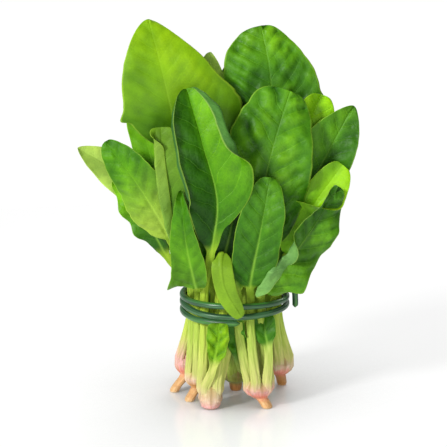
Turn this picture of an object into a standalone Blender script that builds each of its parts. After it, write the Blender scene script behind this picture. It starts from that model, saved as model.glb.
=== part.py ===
"""A bunch of spinach: whole plants pulled with their root ends, held by a cord and standing on those ends.

Metres, +Z up. The camera side is -Y. The origin is at ground level, under the middle of the bunch.
"""

import math
from collections import namedtuple

import bpy
import numpy as np

# Driving dimensions
GAP = 0.0003
BLADE_HALF_THICKNESS = 0.0004
PETIOLE_HALF_WIDTH_AT_CROWN = 0.0040
PETIOLE_HALF_WIDTH = 0.0032
PETIOLE_DEPTH = 0.0046
RIB_HALF_WIDTH_AT_TIP = 0.0008
RIB_DEPTH_AT_TIP = 0.0005
SMALLEST_PETIOLE_RING = 0.0058

# The tie's coil of cord
TIE_CENTRE = np.array((0.014, 0.0, 0.0755))
TIE_COIL_RADIUS = 0.0394
TIE_HALF_HEIGHT = 0.0085
CORD_RADIUS = 0.0023
CORD_SIDES = 8
CORD_STATIONS_PER_TURN = 22

# The cord's free end, which stands up at the right, then its height at each part of a turn
CORD_TAIL = (
    (0.0596, -0.0070, 0.0690), (0.0596, -0.0072, 0.0760), (0.0588, -0.0070, 0.0815),
    (0.0556, -0.0045, 0.0835),
)
CORD_TURNS = (0.0, 0.25, 0.5, 0.6, 0.75, 1.0, 1.25, 1.5, 1.6, 1.75, 2.0, 2.25, 2.5, 2.6, 2.8)
CORD_HEIGHTS = (
    0.0815, 0.0800, 0.0762, 0.0772, 0.0780, 0.0764, 0.0740, 0.0710, 0.0718, 0.0728, 0.0712, 0.0686,
    0.0658, 0.0662, 0.0672,
)

# The crowns' rings: their share of the height, and where the crown has moved over from its foot
CROWN_SIDES = 12
CROWN_LEVELS = np.array((0.0, 0.20, 0.42, 0.70, 1.0))
CROWN_MOVED_BY = 0.55
CROWN_RIBS = 0.05

# A leaf's shape: the place, length and backward sweep of the lobes at its base, how its two edge waves
# are out of step, and how many ribs wider than its rib a blade is where it stops being a round petiole
LOBE_PLACE = 0.10
LOBE_LENGTH = 0.09
LOBE_SWEEP = 0.35
WAVE_STEP = 1.3
FLAT_RIBS = 3.0
OVER_SHARE = 0.5
UNDER_SHARE = 0.6
RIB_ROUNDING = 1.02

# Faceting of a leaf by its count of columns: stations along the petiole and along the blade, and each
# column's place in blade widths and in rib widths, with its place on the round petiole
Faceting = namedtuple("Faceting", "petiole_stations blade_stations edges ribs petiole")
FACETING = {
    7: Faceting(
        6, 8, (-1.0, -0.55, 0.0, 0.0, 0.0, 0.55, 1.0), (0.0, 0.0, -1.0, 0.0, 1.0, 0.0, 0.0),
        (-1.0, -0.80, -0.45, 0.0, 0.45, 0.80, 1.0)),
    5: Faceting(5, 6, (-1.0, 0.0, 0.0, 0.0, 1.0), (0.0, -1.0, 0.0, 1.0, 0.0), (-1.0, -0.70, 0.0, 0.70, 1.0)),
}

# Finishes, as material names and colours
BRIGHT = ("leaf_bright", (0.24, 0.50, 0.02))
MIDDLE = ("leaf_middle", (0.09, 0.31, 0.02))
DARK = ("leaf_dark", (0.035, 0.17, 0.02))
PALE = ("leaf_pale", (0.32, 0.55, 0.12))
ROOT = ("crown_root", (0.80, 0.50, 0.42))
CORD = ("tie_cord", (0.03, 0.13, 0.06))
LEAF_ROUGHNESS = 0.45
ROUGHNESS = {"tie_cord": 0.35, "crown_root": 0.6}
SHARP_EDGE = math.radians(50)

FRONT = (0.0, -1.0, 0.15)
BACK = (0.0, 1.0, 0.15)

# One plant: where its root end stands, the middle of its crown, the height of the crown's top, and the
# radius of the cut root end.
Plant = namedtuple("Plant", "foot crown height foot_radius")
PLANTS = {
    "left": Plant((-0.032, 0.001), (-0.023, 0.006), 0.026, 0.0040),
    "inner_left": Plant((-0.020, -0.022), (-0.014, -0.016), 0.021, 0.0040),
    "front_left": Plant((-0.004, -0.038), (-0.004, -0.036), 0.018, 0.0060),
    "front_right": Plant((0.038, -0.038), (0.032, -0.033), 0.020, 0.0045),
    "right": Plant((0.051, 0.019), (0.049, 0.012), 0.026, 0.0040),
    "middle": Plant((0.015, 0.006), (0.015, 0.001), 0.022, 0.0045),
    "back_left": Plant((-0.008, 0.040), (-0.006, 0.036), 0.020, 0.0055),
    "back_right": Plant((0.036, 0.043), (0.034, 0.039), 0.021, 0.0050),
}

# One leaf: its plant, its place in the tie as (degrees, radius) or None where it ends below, the middle
# line of its blade from the base to the tip, which way its upper face looks at even steps along the
# blade, the widths of its left and right halves, how far each half folds up at the rib and curls on to
# its edge, in degrees, the rise and fall of its outline, the size of its two base lobes, the height and
# count of its edge waves, its colour, and how many columns its faceting has across it.
Leaf = namedtuple("Leaf", "plant slot blade faces width fold curl outline lobes wave colour columns")


def leaf(plant, slot, blade, faces=(FRONT, FRONT), width=(0.02, 0.02), fold=(12, 12), curl=(10, 10),
         outline=(0.55, 0.65), lobes=(0.0, 0.0), wave=(0.0015, 1.5), colour=MIDDLE, columns=7):
    return Leaf(plant, slot, blade, faces, width, fold, curl, outline, lobes, wave, colour, columns)


LEAVES = {
    "leaf_top_left": leaf(
        "middle", (205, 0.020),
        ((-0.026, -0.013, 0.190), (-0.035, -0.018, 0.232), (-0.049, -0.006, 0.285)),
        faces=((0.0, -1.0, 0.1), (0.1, -1.0, 0.2)), width=(0.035, 0.056), fold=(4, 2), curl=(-12, -14),
        outline=(0.32, 0.62), lobes=(0.14, 0.05), colour=BRIGHT),
    "leaf_front_folded": leaf(
        "front_left", (227, 0.033),
        ((-0.004, -0.041, 0.116), (0.001, -0.047, 0.158), (-0.009, -0.045, 0.198),
         (-0.021, -0.035, 0.238)), faces=((-0.1, -1.0, 0.1), (-0.2, -1.0, 0.2)), width=(0.026, 0.029),
        fold=(40, 14), curl=(-20, -20), outline=(1.2, 0.85), colour=BRIGHT),
    "leaf_centre_right": leaf(
        "front_right", (290, 0.022),
        ((0.031, -0.024, 0.118), (0.036, -0.028, 0.170), (0.054, -0.018, 0.234)), width=(0.030, 0.030),
        fold=(6, 6), curl=(-14, -14), outline=(0.7, 0.5), colour=DARK),
    "leaf_top_right": leaf(
        "middle", (300, 0.012),
        ((0.036, -0.001, 0.185), (0.041, -0.003, 0.225), (0.033, 0.010, 0.279)),
        faces=((-0.1, -1.0, 0.1), (-0.1, -1.0, 0.2)), width=(0.034, 0.035), fold=(6, 4),
        curl=(-10, -12), outline=(0.6, 0.45), colour=DARK),
    "leaf_behind_tip": leaf(
        "middle", (180, 0.010),
        ((0.006, 0.010, 0.170), (0.003, 0.014, 0.210), (-0.004, 0.014, 0.256)),
        faces=((-0.3, -1.0, 0.1), (-0.3, -1.0, 0.1)), width=(0.018, 0.012), outline=(0.7, 0.8),
        colour=DARK, columns=5),
    "leaf_right_rounded": leaf(
        "front_right", (322, 0.021),
        ((0.048, -0.011, 0.140), (0.062, -0.012, 0.185), (0.077, -0.007, 0.230)),
        faces=((0.3, -1.0, 0.1), (0.3, -1.0, 0.1)), width=(0.017, 0.018), outline=(0.7, 0.5),
        colour=BRIGHT, columns=5),
    "leaf_right_pointed": leaf(
        "right", (351, 0.033),
        ((0.058, 0.004, 0.130), (0.078, 0.004, 0.178), (0.101, 0.003, 0.222)),
        faces=((0.3, -1.0, 0.2), (0.3, -1.0, 0.2)), width=(0.021, 0.021), fold=(10, 16),
        outline=(0.7, 0.85), colour=MIDDLE),
    "leaf_right_rolled": leaf(
        "right", (336, 0.033),
        ((0.053, -0.015, 0.116), (0.070, -0.019, 0.148), (0.093, -0.018, 0.180)),
        faces=((0.1, -1.0, 0.2), (0.1, -1.0, 0.4)), width=(0.015, 0.014), fold=(8, 20), curl=(10, 100),
        outline=(0.6, 0.45), colour=PALE),
    "leaf_right_low": leaf(
        "front_right", (306, 0.033),
        ((0.042, -0.037, 0.096), (0.066, -0.040, 0.128), (0.092, -0.034, 0.168)),
        faces=((0.4, -1.0, 0.2), (0.6, -0.9, 0.3)), width=(0.012, 0.024), fold=(25, 8), curl=(20, -20),
        outline=(0.5, 0.65), wave=(0.0025, 2.5), colour=DARK),
    "leaf_front_long": leaf(
        "front_right", (290, 0.033),
        ((0.025, -0.039, 0.096), (0.032, -0.047, 0.134), (0.039, -0.043, 0.175)), width=(0.017, 0.017),
        fold=(8, 10), curl=(-10, -10), outline=(0.6, 0.5), colour=MIDDLE),
    "leaf_front_tongue": leaf(
        "front_left", (255, 0.033),
        ((0.0055, -0.037, 0.102), (0.006, -0.0405, 0.118), (0.007, -0.046, 0.115),
         (0.010, -0.0475, 0.098), (0.019, -0.0465, 0.074)),
        faces=((0, -1, 0.3), (0, -0.3, -1), (0, 1, 0), (0, 1, 0)), width=(0.0075, 0.0075), fold=(0, 0),
        curl=(8, 8), outline=(0.30, 0.40), wave=(0.0, 1.0), colour=BRIGHT),
    "leaf_far_left": leaf(
        "left", (160, 0.033),
        ((-0.046, 0.012, 0.142), (-0.074, 0.016, 0.168), (-0.104, 0.014, 0.187)),
        faces=((-0.3, -1.0, 0.4), (-0.2, -1.0, 0.6)), width=(0.011, 0.011), fold=(10, 10),
        outline=(0.7, 1.0), colour=PALE, columns=5),
    "leaf_left_pointed": leaf(
        "inner_left", (187, 0.033),
        ((-0.034, -0.018, 0.124), (-0.052, -0.024, 0.158), (-0.081, -0.018, 0.197)),
        faces=((-0.3, -1.0, 0.2), (-0.4, -1.0, 0.3)), width=(0.021, 0.019), fold=(8, 12),
        curl=(-18, -10), outline=(0.55, 0.75), colour=MIDDLE),
    "leaf_left_wavy": leaf(
        "left", (173, 0.033),
        ((-0.034, -0.005, 0.104), (-0.052, -0.006, 0.136), (-0.073, -0.003, 0.168)),
        faces=((-0.5, -0.9, 0.1), (-0.5, -0.9, 0.2)), width=(0.013, 0.012), fold=(8, 10),
        outline=(0.5, 0.7), wave=(0.002, 2.5), colour=MIDDLE, columns=5),
    "leaf_left_back": leaf(
        "left", (180, 0.021),
        ((-0.036, 0.000, 0.140), (-0.050, 0.000, 0.178), (-0.062, 0.003, 0.214)),
        faces=((-0.5, -1.0, 0.1), (-0.5, -1.0, 0.1)), width=(0.013, 0.013), colour=MIDDLE, columns=5),
    "leaf_left_upright": leaf(
        "inner_left", (200, 0.033),
        ((-0.028, -0.031, 0.122), (-0.036, -0.037, 0.168), (-0.040, -0.031, 0.212)),
        faces=((0.1, -1.0, 0.0), (0.2, -1.0, 0.2)), width=(0.010, 0.018), fold=(34, 14), curl=(30, 10),
        outline=(0.6, 0.45), colour=MIDDLE),
    "leaf_left_low": leaf(
        "inner_left", (214, 0.033),
        ((-0.015, -0.030, 0.094), (-0.021, -0.044, 0.122), (-0.026, -0.046, 0.155)),
        faces=((-0.2, -1.0, 0.0), (-0.2, -1.0, 0.1)), width=(0.014, 0.009), fold=(6, 14),
        curl=(-14, 10), outline=(0.3, 0.7), lobes=(0.8, 0.0), colour=MIDDLE),
    "leaf_behind_folded": leaf(
        "front_left", (242, 0.025),
        ((0.004, -0.031, 0.104), (0.011, -0.034, 0.135), (0.015, -0.030, 0.178)), width=(0.016, 0.015),
        fold=(6, 14), curl=(-6, -12), outline=(0.6, 0.6), colour=MIDDLE),
    "leaf_front_small": leaf(
        "front_right", (274, 0.033),
        ((0.0155, -0.036, 0.088), (0.016, -0.0365, 0.102), (0.0155, -0.036, 0.118)),
        width=(0.006, 0.007), fold=(10, 10), outline=(0.5, 0.8), wave=(0.0, 1.0), colour=MIDDLE,
        columns=5),
    "leaf_right_side": leaf(
        "right", (6, 0.033),
        ((0.062, 0.006, 0.104), (0.077, 0.005, 0.128), (0.090, 0.004, 0.156)),
        faces=((0.9, -0.3, 0.0), (0.9, -0.3, 0.2)), fold=(18, 18), curl=(14, 14), width=(0.015, 0.015),
        colour=DARK, columns=5),
    "leaf_left_side": leaf(
        "back_left", (132, 0.033),
        ((-0.026, 0.034, 0.098), (-0.037, 0.043, 0.120), (-0.044, 0.049, 0.144)),
        faces=((-0.8, 0.7, 0.1), (-0.8, 0.7, 0.2)), fold=(18, 18), curl=(14, 14), width=(0.012, 0.013),
        colour=BRIGHT, columns=5),
    "leaf_young_front": leaf(
        "front_left", None,
        ((-0.005, -0.0435, 0.031), (0.000, -0.0435, 0.046), (0.004, -0.041, 0.062)),
        width=(0.010, 0.004), fold=(4, 20), wave=(0.001, 2.5), colour=BRIGHT, columns=5),
    "leaf_young_right": leaf(
        "front_right", None,
        ((0.039, -0.038, 0.033), (0.0385, -0.0365, 0.046), (0.037, -0.035, 0.062)),
        width=(0.005, 0.005), wave=(0.001, 2.5), colour=DARK, columns=5),
    "leaf_young_middle": leaf(
        "middle", None,
        ((0.019, -0.015, 0.036), (0.0175, -0.018, 0.050), (0.016, -0.0195, 0.064)),
        width=(0.005, 0.005), wave=(0.0015, 2.5), colour=MIDDLE, columns=5),
    "leaf_inner_1": leaf(
        "left", (158, 0.021),
        ((-0.010, 0.009, 0.104), (-0.018, 0.007, 0.135), (-0.028, 0.007, 0.170)),
        faces=((-0.8, -0.6, 0.0), (-0.8, -0.6, 0.0)), width=(0.010, 0.012), columns=5),
    "leaf_inner_2": leaf(
        "inner_left", (225, 0.022),
        ((-0.006, -0.022, 0.096), (-0.012, -0.027, 0.122), (-0.014, -0.027, 0.156)),
        width=(0.012, 0.012), columns=5),
    "leaf_inner_3": leaf(
        "front_left", (266, 0.024),
        ((0.017, -0.027, 0.090), (0.019, -0.029, 0.106), (0.020, -0.030, 0.124)), width=(0.009, 0.009),
        columns=5),
    "leaf_inner_4": leaf(
        "right", (350, 0.021),
        ((0.038, -0.003, 0.100), (0.040, -0.002, 0.122), (0.041, -0.002, 0.150)),
        faces=((0.3, -1.0, 0.0), (0.3, -1.0, 0.0)), width=(0.009, 0.009), columns=5),
    "leaf_inner_5": leaf(
        "right", (18, 0.022),
        ((0.040, 0.008, 0.105), (0.044, 0.007, 0.135), (0.050, 0.005, 0.170)),
        faces=((1.0, 0.1, 0.0), (1.0, 0.1, 0.0)), width=(0.010, 0.010), colour=DARK, columns=5),
    "leaf_inner_6": leaf(
        "middle", (250, 0.010),
        ((0.014, -0.009, 0.102), (0.014, -0.010, 0.130), (0.012, -0.010, 0.160)), width=(0.013, 0.013),
        columns=5),
    "leaf_inner_7": leaf(
        "back_left", (114, 0.021),
        ((0.002, 0.016, 0.105), (0.000, 0.012, 0.135), (-0.002, 0.008, 0.165)),
        faces=((-0.2, 1.0, 0.0), (-0.2, 1.0, 0.0)), width=(0.009, 0.009), colour=DARK, columns=5),
    "leaf_inner_8": leaf(
        "back_right", (68, 0.021),
        ((0.026, 0.020, 0.105), (0.027, 0.018, 0.135), (0.028, 0.014, 0.166)),
        faces=((0.5, 1.0, 0.0), (0.5, 1.0, 0.0)), width=(0.009, 0.009), columns=5),
    "leaf_back_1": leaf(
        "middle", (90, 0.011),
        ((0.016, 0.018, 0.160), (0.013, 0.024, 0.205), (0.008, 0.024, 0.256)),
        faces=((0.3, 1.0, 0.1), (0.3, 1.0, 0.1)), fold=(18, 18), curl=(14, 14), width=(0.026, 0.022),
        colour=DARK, columns=5),
    "leaf_back_2": leaf(
        "back_left", (137, 0.022),
        ((-0.018, 0.022, 0.136), (-0.031, 0.027, 0.188), (-0.046, 0.026, 0.240)),
        faces=((-0.4, 1.0, 0.1), (-0.4, 1.0, 0.2)), fold=(18, 18), curl=(14, 14), width=(0.022, 0.026),
        colour=MIDDLE, columns=5),
    "leaf_back_3": leaf(
        "back_right", (44, 0.022),
        ((0.043, 0.020, 0.136), (0.052, 0.026, 0.188), (0.060, 0.024, 0.240)),
        faces=((0.4, 1.0, 0.1), (0.4, 1.0, 0.2)), fold=(18, 18), curl=(14, 14), width=(0.026, 0.026),
        colour=DARK, columns=5),
    "leaf_back_4": leaf(
        "back_left", (92, 0.022),
        ((0.005, 0.033, 0.125), (0.000, 0.039, 0.170), (-0.007, 0.045, 0.217)),
        faces=((-0.1, 1.0, 0.2), (-0.1, 1.0, 0.2)), fold=(18, 18), curl=(14, 14), width=(0.020, 0.022),
        colour=BRIGHT),
    "leaf_back_5": leaf(
        "back_left", (146, 0.033),
        ((-0.032, 0.028, 0.115), (-0.054, 0.032, 0.155), (-0.071, 0.030, 0.198)),
        faces=((-0.9, 0.5, 0.1), (-0.9, 0.5, 0.2)), fold=(18, 18), curl=(14, 14), width=(0.015, 0.020),
        colour=MIDDLE),
    "leaf_back_6": leaf(
        "back_right", (74, 0.033),
        ((0.032, 0.038, 0.120), (0.037, 0.044, 0.160), (0.043, 0.048, 0.203)), faces=(BACK, BACK),
        fold=(18, 18), curl=(14, 14), width=(0.021, 0.021), colour=DARK),
    "leaf_back_7": leaf(
        "right", (22, 0.033),
        ((0.060, 0.021, 0.118), (0.078, 0.028, 0.154), (0.092, 0.028, 0.194)),
        faces=((0.9, 0.5, 0.1), (0.9, 0.5, 0.2)), fold=(18, 18), curl=(14, 14), width=(0.021, 0.020),
        colour=MIDDLE),
    "leaf_back_8": leaf(
        "back_right", (94, 0.033),
        ((0.014, 0.041, 0.098), (0.016, 0.049, 0.128), (0.016, 0.053, 0.160)), faces=(BACK, BACK),
        fold=(12, 12), curl=(14, 14), width=(0.018, 0.018), colour=MIDDLE),
    "leaf_back_9": leaf(
        "back_left", (119, 0.033),
        ((-0.008, 0.040, 0.098), (-0.015, 0.049, 0.124), (-0.023, 0.053, 0.155)),
        faces=((-0.2, 1.0, 0.1), (-0.2, 1.0, 0.2)), fold=(18, 18), curl=(14, 14), width=(0.014, 0.014),
        colour=DARK, columns=5),
    "leaf_back_10": leaf(
        "back_right", (50, 0.033),
        ((0.050, 0.037, 0.100), (0.060, 0.045, 0.124), (0.071, 0.049, 0.152)),
        faces=((0.4, 1.0, 0.1), (0.4, 1.0, 0.3)), fold=(18, 18), curl=(14, 14), width=(0.016, 0.016),
        colour=BRIGHT, columns=5),
}


def clear_scene():
    for item in list(bpy.data.objects):
        bpy.data.objects.remove(item)


def material(finish):
    name, colour = finish
    made = bpy.data.materials.get(name)
    if made is None:
        made = bpy.data.materials.new(name)
        made.use_nodes = True
        shader = made.node_tree.nodes["Principled BSDF"]
        shader.inputs["Base Color"].default_value = (*colour, 1.0)
        shader.inputs["Roughness"].default_value = ROUGHNESS.get(name, LEAF_ROUGHNESS)
        shader.inputs["Metallic"].default_value = 0.0
    return made


def add_object(name, vertices, faces, finish):
    mesh = bpy.data.meshes.new(name)
    mesh.from_pydata(vertices.reshape(-1, 3).tolist(), [], faces.tolist())
    mesh.materials.append(material(finish))
    mesh.shade_smooth()
    mesh.set_sharp_from_angle(angle=SHARP_EDGE)
    bpy.context.scene.collection.objects.link(bpy.data.objects.new(name, mesh))


def smoothstep(low, high, value):
    share = np.clip((value - low) / (high - low), 0.0, 1.0)
    return share * share * (3.0 - 2.0 * share)


def curve_through(points, at):
    """Places and directions on a smooth curve through the points, at knot numbers such as 1.5.

    Each stretch is a cubic whose end slopes are those of the parabola through the neighbouring points,
    with the distance between points as the knots.
    """
    points = np.asarray(points, float)
    steps = np.linalg.norm(np.diff(points, axis=0), axis=1)
    slopes = np.diff(points, axis=0) / steps[:, None]
    before, after = steps[:-1, None], steps[1:, None]
    inner = (slopes[:-1] * after + slopes[1:] * before) / (before + after)
    tangents = np.vstack((1.5 * slopes[0] - 0.5 * inner[0], inner, 1.5 * slopes[-1] - 0.5 * inner[-1]))
    index = np.clip(at.astype(int), 0, len(steps) - 1)
    part = (at - index)[:, None]
    step = steps[index][:, None]
    start, end = points[index], points[index + 1]
    leave, arrive = tangents[index] * step, tangents[index + 1] * step
    place = (
        (2 * part**3 - 3 * part**2 + 1) * start
        + (part**3 - 2 * part**2 + part) * leave
        + (3 * part**2 - 2 * part**3) * end
        + (part**3 - part**2) * arrive
    )
    direction = (
        (6 * part**2 - 6 * part) * (start - end)
        + (3 * part**2 - 4 * part + 1) * leave
        + (3 * part**2 - 2 * part) * arrive
    )
    return place, direction / np.linalg.norm(direction, axis=1)[:, None]


def slot_place(slot, height):
    """A place within the tie, at a height over its middle."""
    angle = math.radians(slot[0])
    return TIE_CENTRE + np.array((slot[1] * math.cos(angle), slot[1] * math.sin(angle), height))


def first_target(one):
    """Where a leaf heads from its crown: its place in the tie, or its own blade."""
    return slot_place(one.slot, 0.0) if one.slot else np.array(one.blade[0])


def leaves_of(plant_name):
    return [name for name, one in LEAVES.items() if one.plant == plant_name]


def petiole_ring(plant_name):
    """Radius of the ring on which a plant's petioles stand side by side."""
    count = len(leaves_of(plant_name))
    return max(count * 2 * (PETIOLE_HALF_WIDTH_AT_CROWN + GAP) / (2 * math.pi), SMALLEST_PETIOLE_RING)


def petiole_bases():
    """Where each leaf leaves its crown: evenly round it, in the order of the places that they head for."""
    bases = {}
    for plant_name, plant in PLANTS.items():
        names = leaves_of(plant_name)
        away = {name: first_target(LEAVES[name])[:2] - plant.crown for name in names}
        middle = sum(away.values()) / len(names)
        turn = {name: math.atan2(*(away[name] - middle)[::-1]) for name in names}
        names.sort(key=turn.get)
        step = 2 * math.pi / len(names)
        offsets = [turn[name] - step * i for i, name in enumerate(names)]
        first = math.atan2(sum(map(math.sin, offsets)), sum(map(math.cos, offsets)))
        ring = petiole_ring(plant_name)
        for i, name in enumerate(names):
            angle = first + step * i
            bases[name] = np.array((
                plant.crown[0] + ring * math.cos(angle),
                plant.crown[1] + ring * math.sin(angle),
                plant.height + GAP,
            ))
    return bases


def leaf_surfaces(one, base):
    """Upper and lower face of a leaf, as two grids of stations along it by columns across it.

    The petiole is round. Along the blade the half width is the outline's rise and fall, plus its lobes.
    Across the blade each half leaves the rib at its fold angle and bends along an arc by its curl, and
    its edge waves. The lower face bulges over the rib, which thins towards the tip.
    """
    faceting = FACETING[one.columns]
    held = [slot_place(one.slot, side * TIE_HALF_HEIGHT) for side in (-1, 1)] if one.slot else []
    blade_start = 1.0 + len(held)
    blade_knots = len(one.blade) - 1
    spaced = (1 - np.cos(np.linspace(0.0, math.pi, faceting.blade_stations))) / 2
    petiole_knots = np.linspace(0.0, blade_start, faceting.petiole_stations, endpoint=False)
    along = np.concatenate((petiole_knots, blade_start + blade_knots * spaced))
    place, direction = curve_through([base, *held, *one.blade], along)
    share = ((along - blade_start) / blade_knots)[:, None]
    blade = np.clip(share, 0.0, 1.0)
    grown = smoothstep(-0.5, 0.25, share)

    steps = np.linspace(0.0, 1.0, len(one.faces))
    facing = np.stack([np.interp(blade[:, 0], steps, axis) for axis in zip(*one.faces)], axis=1)
    facing -= np.sum(facing * direction, axis=1)[:, None] * direction
    facing /= np.linalg.norm(facing, axis=1)[:, None]
    side = np.cross(direction, facing)

    from_crown = np.clip(along, 0.0, 1.0)[:, None]
    rib = (
        PETIOLE_HALF_WIDTH_AT_CROWN + (PETIOLE_HALF_WIDTH - PETIOLE_HALF_WIDTH_AT_CROWN) * from_crown
        + (RIB_HALF_WIDTH_AT_TIP - PETIOLE_HALF_WIDTH) * smoothstep(-0.1, 0.8, blade)
    )
    depth = PETIOLE_DEPTH + (RIB_DEPTH_AT_TIP - PETIOLE_DEPTH) * smoothstep(-0.3, 0.7, blade)

    petiole = np.array(faceting.petiole)
    right = petiole >= 0
    sign = np.where(right, 1.0, -1.0)
    half = np.where(right, one.width[1], one.width[0])
    lobes = np.where(right, one.lobes[1], one.lobes[0])
    rise, fall = one.outline
    peak = rise / (rise + fall)
    spread = (blade / peak) ** rise * ((1 - blade) / (1 - peak)) ** fall
    lobe = lobes * np.exp(-(((blade - LOBE_PLACE) / LOBE_LENGTH) ** 2)) * (blade > 0)
    width = np.maximum(half * (spread + lobe), rib)
    flat = np.clip((width - rib) / (FLAT_RIBS * rib), 0.0, 1.0)
    across = flat * (faceting.edges * width + faceting.ribs * rib) + (1 - flat) * petiole * rib

    reach = np.abs(across)
    to_edge = reach / width
    fold = np.radians(np.where(right, one.fold[1], one.fold[0])) * grown * flat
    curl = np.radians(np.where(right, one.curl[1], one.curl[0])) * grown * flat * to_edge
    chord = reach * np.sinc(curl / (2 * math.pi))
    outward = sign * chord * np.cos(fold + curl / 2)
    wave_height, wave_count = one.wave
    wave = wave_height * flat * to_edge**2 * np.sin(2 * math.pi * wave_count * blade + WAVE_STEP * sign)
    upward = chord * np.sin(fold + curl / 2) + wave
    back = -LOBE_SWEEP * lobe * half * to_edge**2
    middle = (
        place[:, None, :]
        + outward[..., None] * side[:, None, :]
        + upward[..., None] * facing[:, None, :]
        + back[..., None] * direction[:, None, :]
    )

    lean = fold + curl
    normal = (
        np.cos(lean)[..., None] * facing[:, None, :]
        - (sign * np.sin(lean))[..., None] * side[:, None, :]
    )
    bulge = np.sqrt(np.clip(1 - (across / (RIB_ROUNDING * rib)) ** 2, 0.0, 1.0))
    over = BLADE_HALF_THICKNESS + OVER_SHARE * depth * (1 - grown) * bulge
    under = BLADE_HALF_THICKNESS + UNDER_SHARE * depth * bulge
    upper, lower = middle + over[..., None] * normal, middle - under[..., None] * normal
    upper[0, :, 2] = lower[0, :, 2] = base[2]
    return upper, lower


def quads(a, b, c, d):
    """Two triangles for each set of four corners, split from the first corner to the third."""
    a, b, c, d = (corner.reshape(-1) for corner in (a, b, c, d))
    return np.concatenate((np.stack((a, b, c), axis=1), np.stack((a, c, d), axis=1)))


def leaf_faces(stations, columns):
    """Triangles of the closed skin over an upper and a lower grid, split alike on both."""
    upper, lower = np.arange(2 * stations * columns).reshape(2, stations, columns)
    return np.concatenate((
        quads(upper[:-1, :-1], upper[:-1, 1:], upper[1:, 1:], upper[1:, :-1]),
        quads(lower[1:, 1:], lower[:-1, 1:], lower[:-1, :-1], lower[1:, :-1]),
        quads(upper[:-1, -1], lower[:-1, -1], lower[1:, -1], upper[1:, -1]),
        quads(lower[:-1, 0], upper[:-1, 0], upper[1:, 0], lower[1:, 0]),
        quads(upper[0, :-1], lower[0, :-1], lower[0, 1:], upper[0, 1:]),
        quads(lower[-1, :-1], upper[-1, :-1], upper[-1, 1:], lower[-1, 1:]),
    ))


def make_leaves():
    bases = petiole_bases()
    for name, one in LEAVES.items():
        upper, lower = leaf_surfaces(one, bases[name])
        add_object(name, np.stack((upper, lower)), leaf_faces(*upper.shape[:2]), one.colour)


def tube_faces(rings, sides):
    """Triangles of a closed tube with flat ends. Each ring runs anticlockwise seen from the far end."""
    index = np.arange(rings * sides).reshape(rings, sides)
    beside = np.roll(index, -1, axis=1)
    walls = quads(index[:-1], beside[:-1], beside[1:], index[1:])
    fan = np.arange(1, sides - 1)
    start = np.stack((np.zeros_like(fan), fan + 1, fan), axis=1)
    end = np.stack((np.zeros_like(fan), fan, fan + 1), axis=1) + (rings - 1) * sides
    return np.concatenate((walls, start, end))


def make_crowns():
    """A crown is a stack of level rings from the cut root end, over the bulb, to the foot of the petioles."""
    turn = np.arange(CROWN_SIDES) * 2 * math.pi / CROWN_SIDES
    moved = smoothstep(0.0, CROWN_MOVED_BY, CROWN_LEVELS)[:, None]
    ribbed = 1 + CROWN_RIBS * np.cos(turn * CROWN_SIDES / 2) * smoothstep(0.3, 0.7, CROWN_LEVELS)[:, None]
    for name, plant in PLANTS.items():
        top = petiole_ring(name) + 0.85 * PETIOLE_HALF_WIDTH_AT_CROWN
        foot = plant.foot_radius
        profile = np.array((foot, max(1.15 * foot, 0.5 * top), max(1.25 * foot, 0.80 * top), top, top))
        radii = profile[:, None] * ribbed
        centres = (1 - moved) * np.array(plant.foot) + moved * np.array(plant.crown)
        rings = np.stack((
            centres[:, :1] + radii * np.cos(turn),
            centres[:, 1:] + radii * np.sin(turn),
            np.broadcast_to((CROWN_LEVELS * plant.height)[:, None], radii.shape),
        ), axis=-1)
        add_object("crown_" + name, rings, tube_faces(*rings.shape[:2]), ROOT)


def cord_route():
    """The cord's middle line: its free end, then nearly three turns round the petioles."""
    turn = np.linspace(0.0, CORD_TURNS[-1], int(CORD_TURNS[-1] * CORD_STATIONS_PER_TURN))
    angle = 2 * math.pi * turn
    coil = np.stack((
        TIE_CENTRE[0] + TIE_COIL_RADIUS * np.cos(angle),
        TIE_CENTRE[1] + TIE_COIL_RADIUS * np.sin(angle),
        np.interp(turn, CORD_TURNS, CORD_HEIGHTS),
    ), axis=1)
    return np.concatenate((CORD_TAIL, coil[1:]))


def make_tie():
    """The cord is a ring of points at right angles to its route, starting away from the tie's middle."""
    route = cord_route()
    place, direction = curve_through(route, np.arange(len(route), dtype=float))
    outward = (place - TIE_CENTRE) * (1.0, 1.0, 0.0)
    outward -= np.sum(outward * direction, axis=1)[:, None] * direction
    outward /= np.linalg.norm(outward, axis=1)[:, None]
    beside = np.cross(direction, outward)
    turn = (np.arange(CORD_SIDES) * 2 * math.pi / CORD_SIDES)[None, :, None]
    rings = place[:, None] + CORD_RADIUS * (np.cos(turn) * outward[:, None] + np.sin(turn) * beside[:, None])
    add_object("tie_cord", rings, tube_faces(*rings.shape[:2]), CORD)


clear_scene()
make_crowns()
make_leaves()
make_tie()
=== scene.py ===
"""A bunch of spinach: puckered leaves on ribbed petioles, pink root ends, and the cord that holds them.

Metres, +Z up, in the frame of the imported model. The camera side is -Y.
"""

import math
from collections import namedtuple

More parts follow.
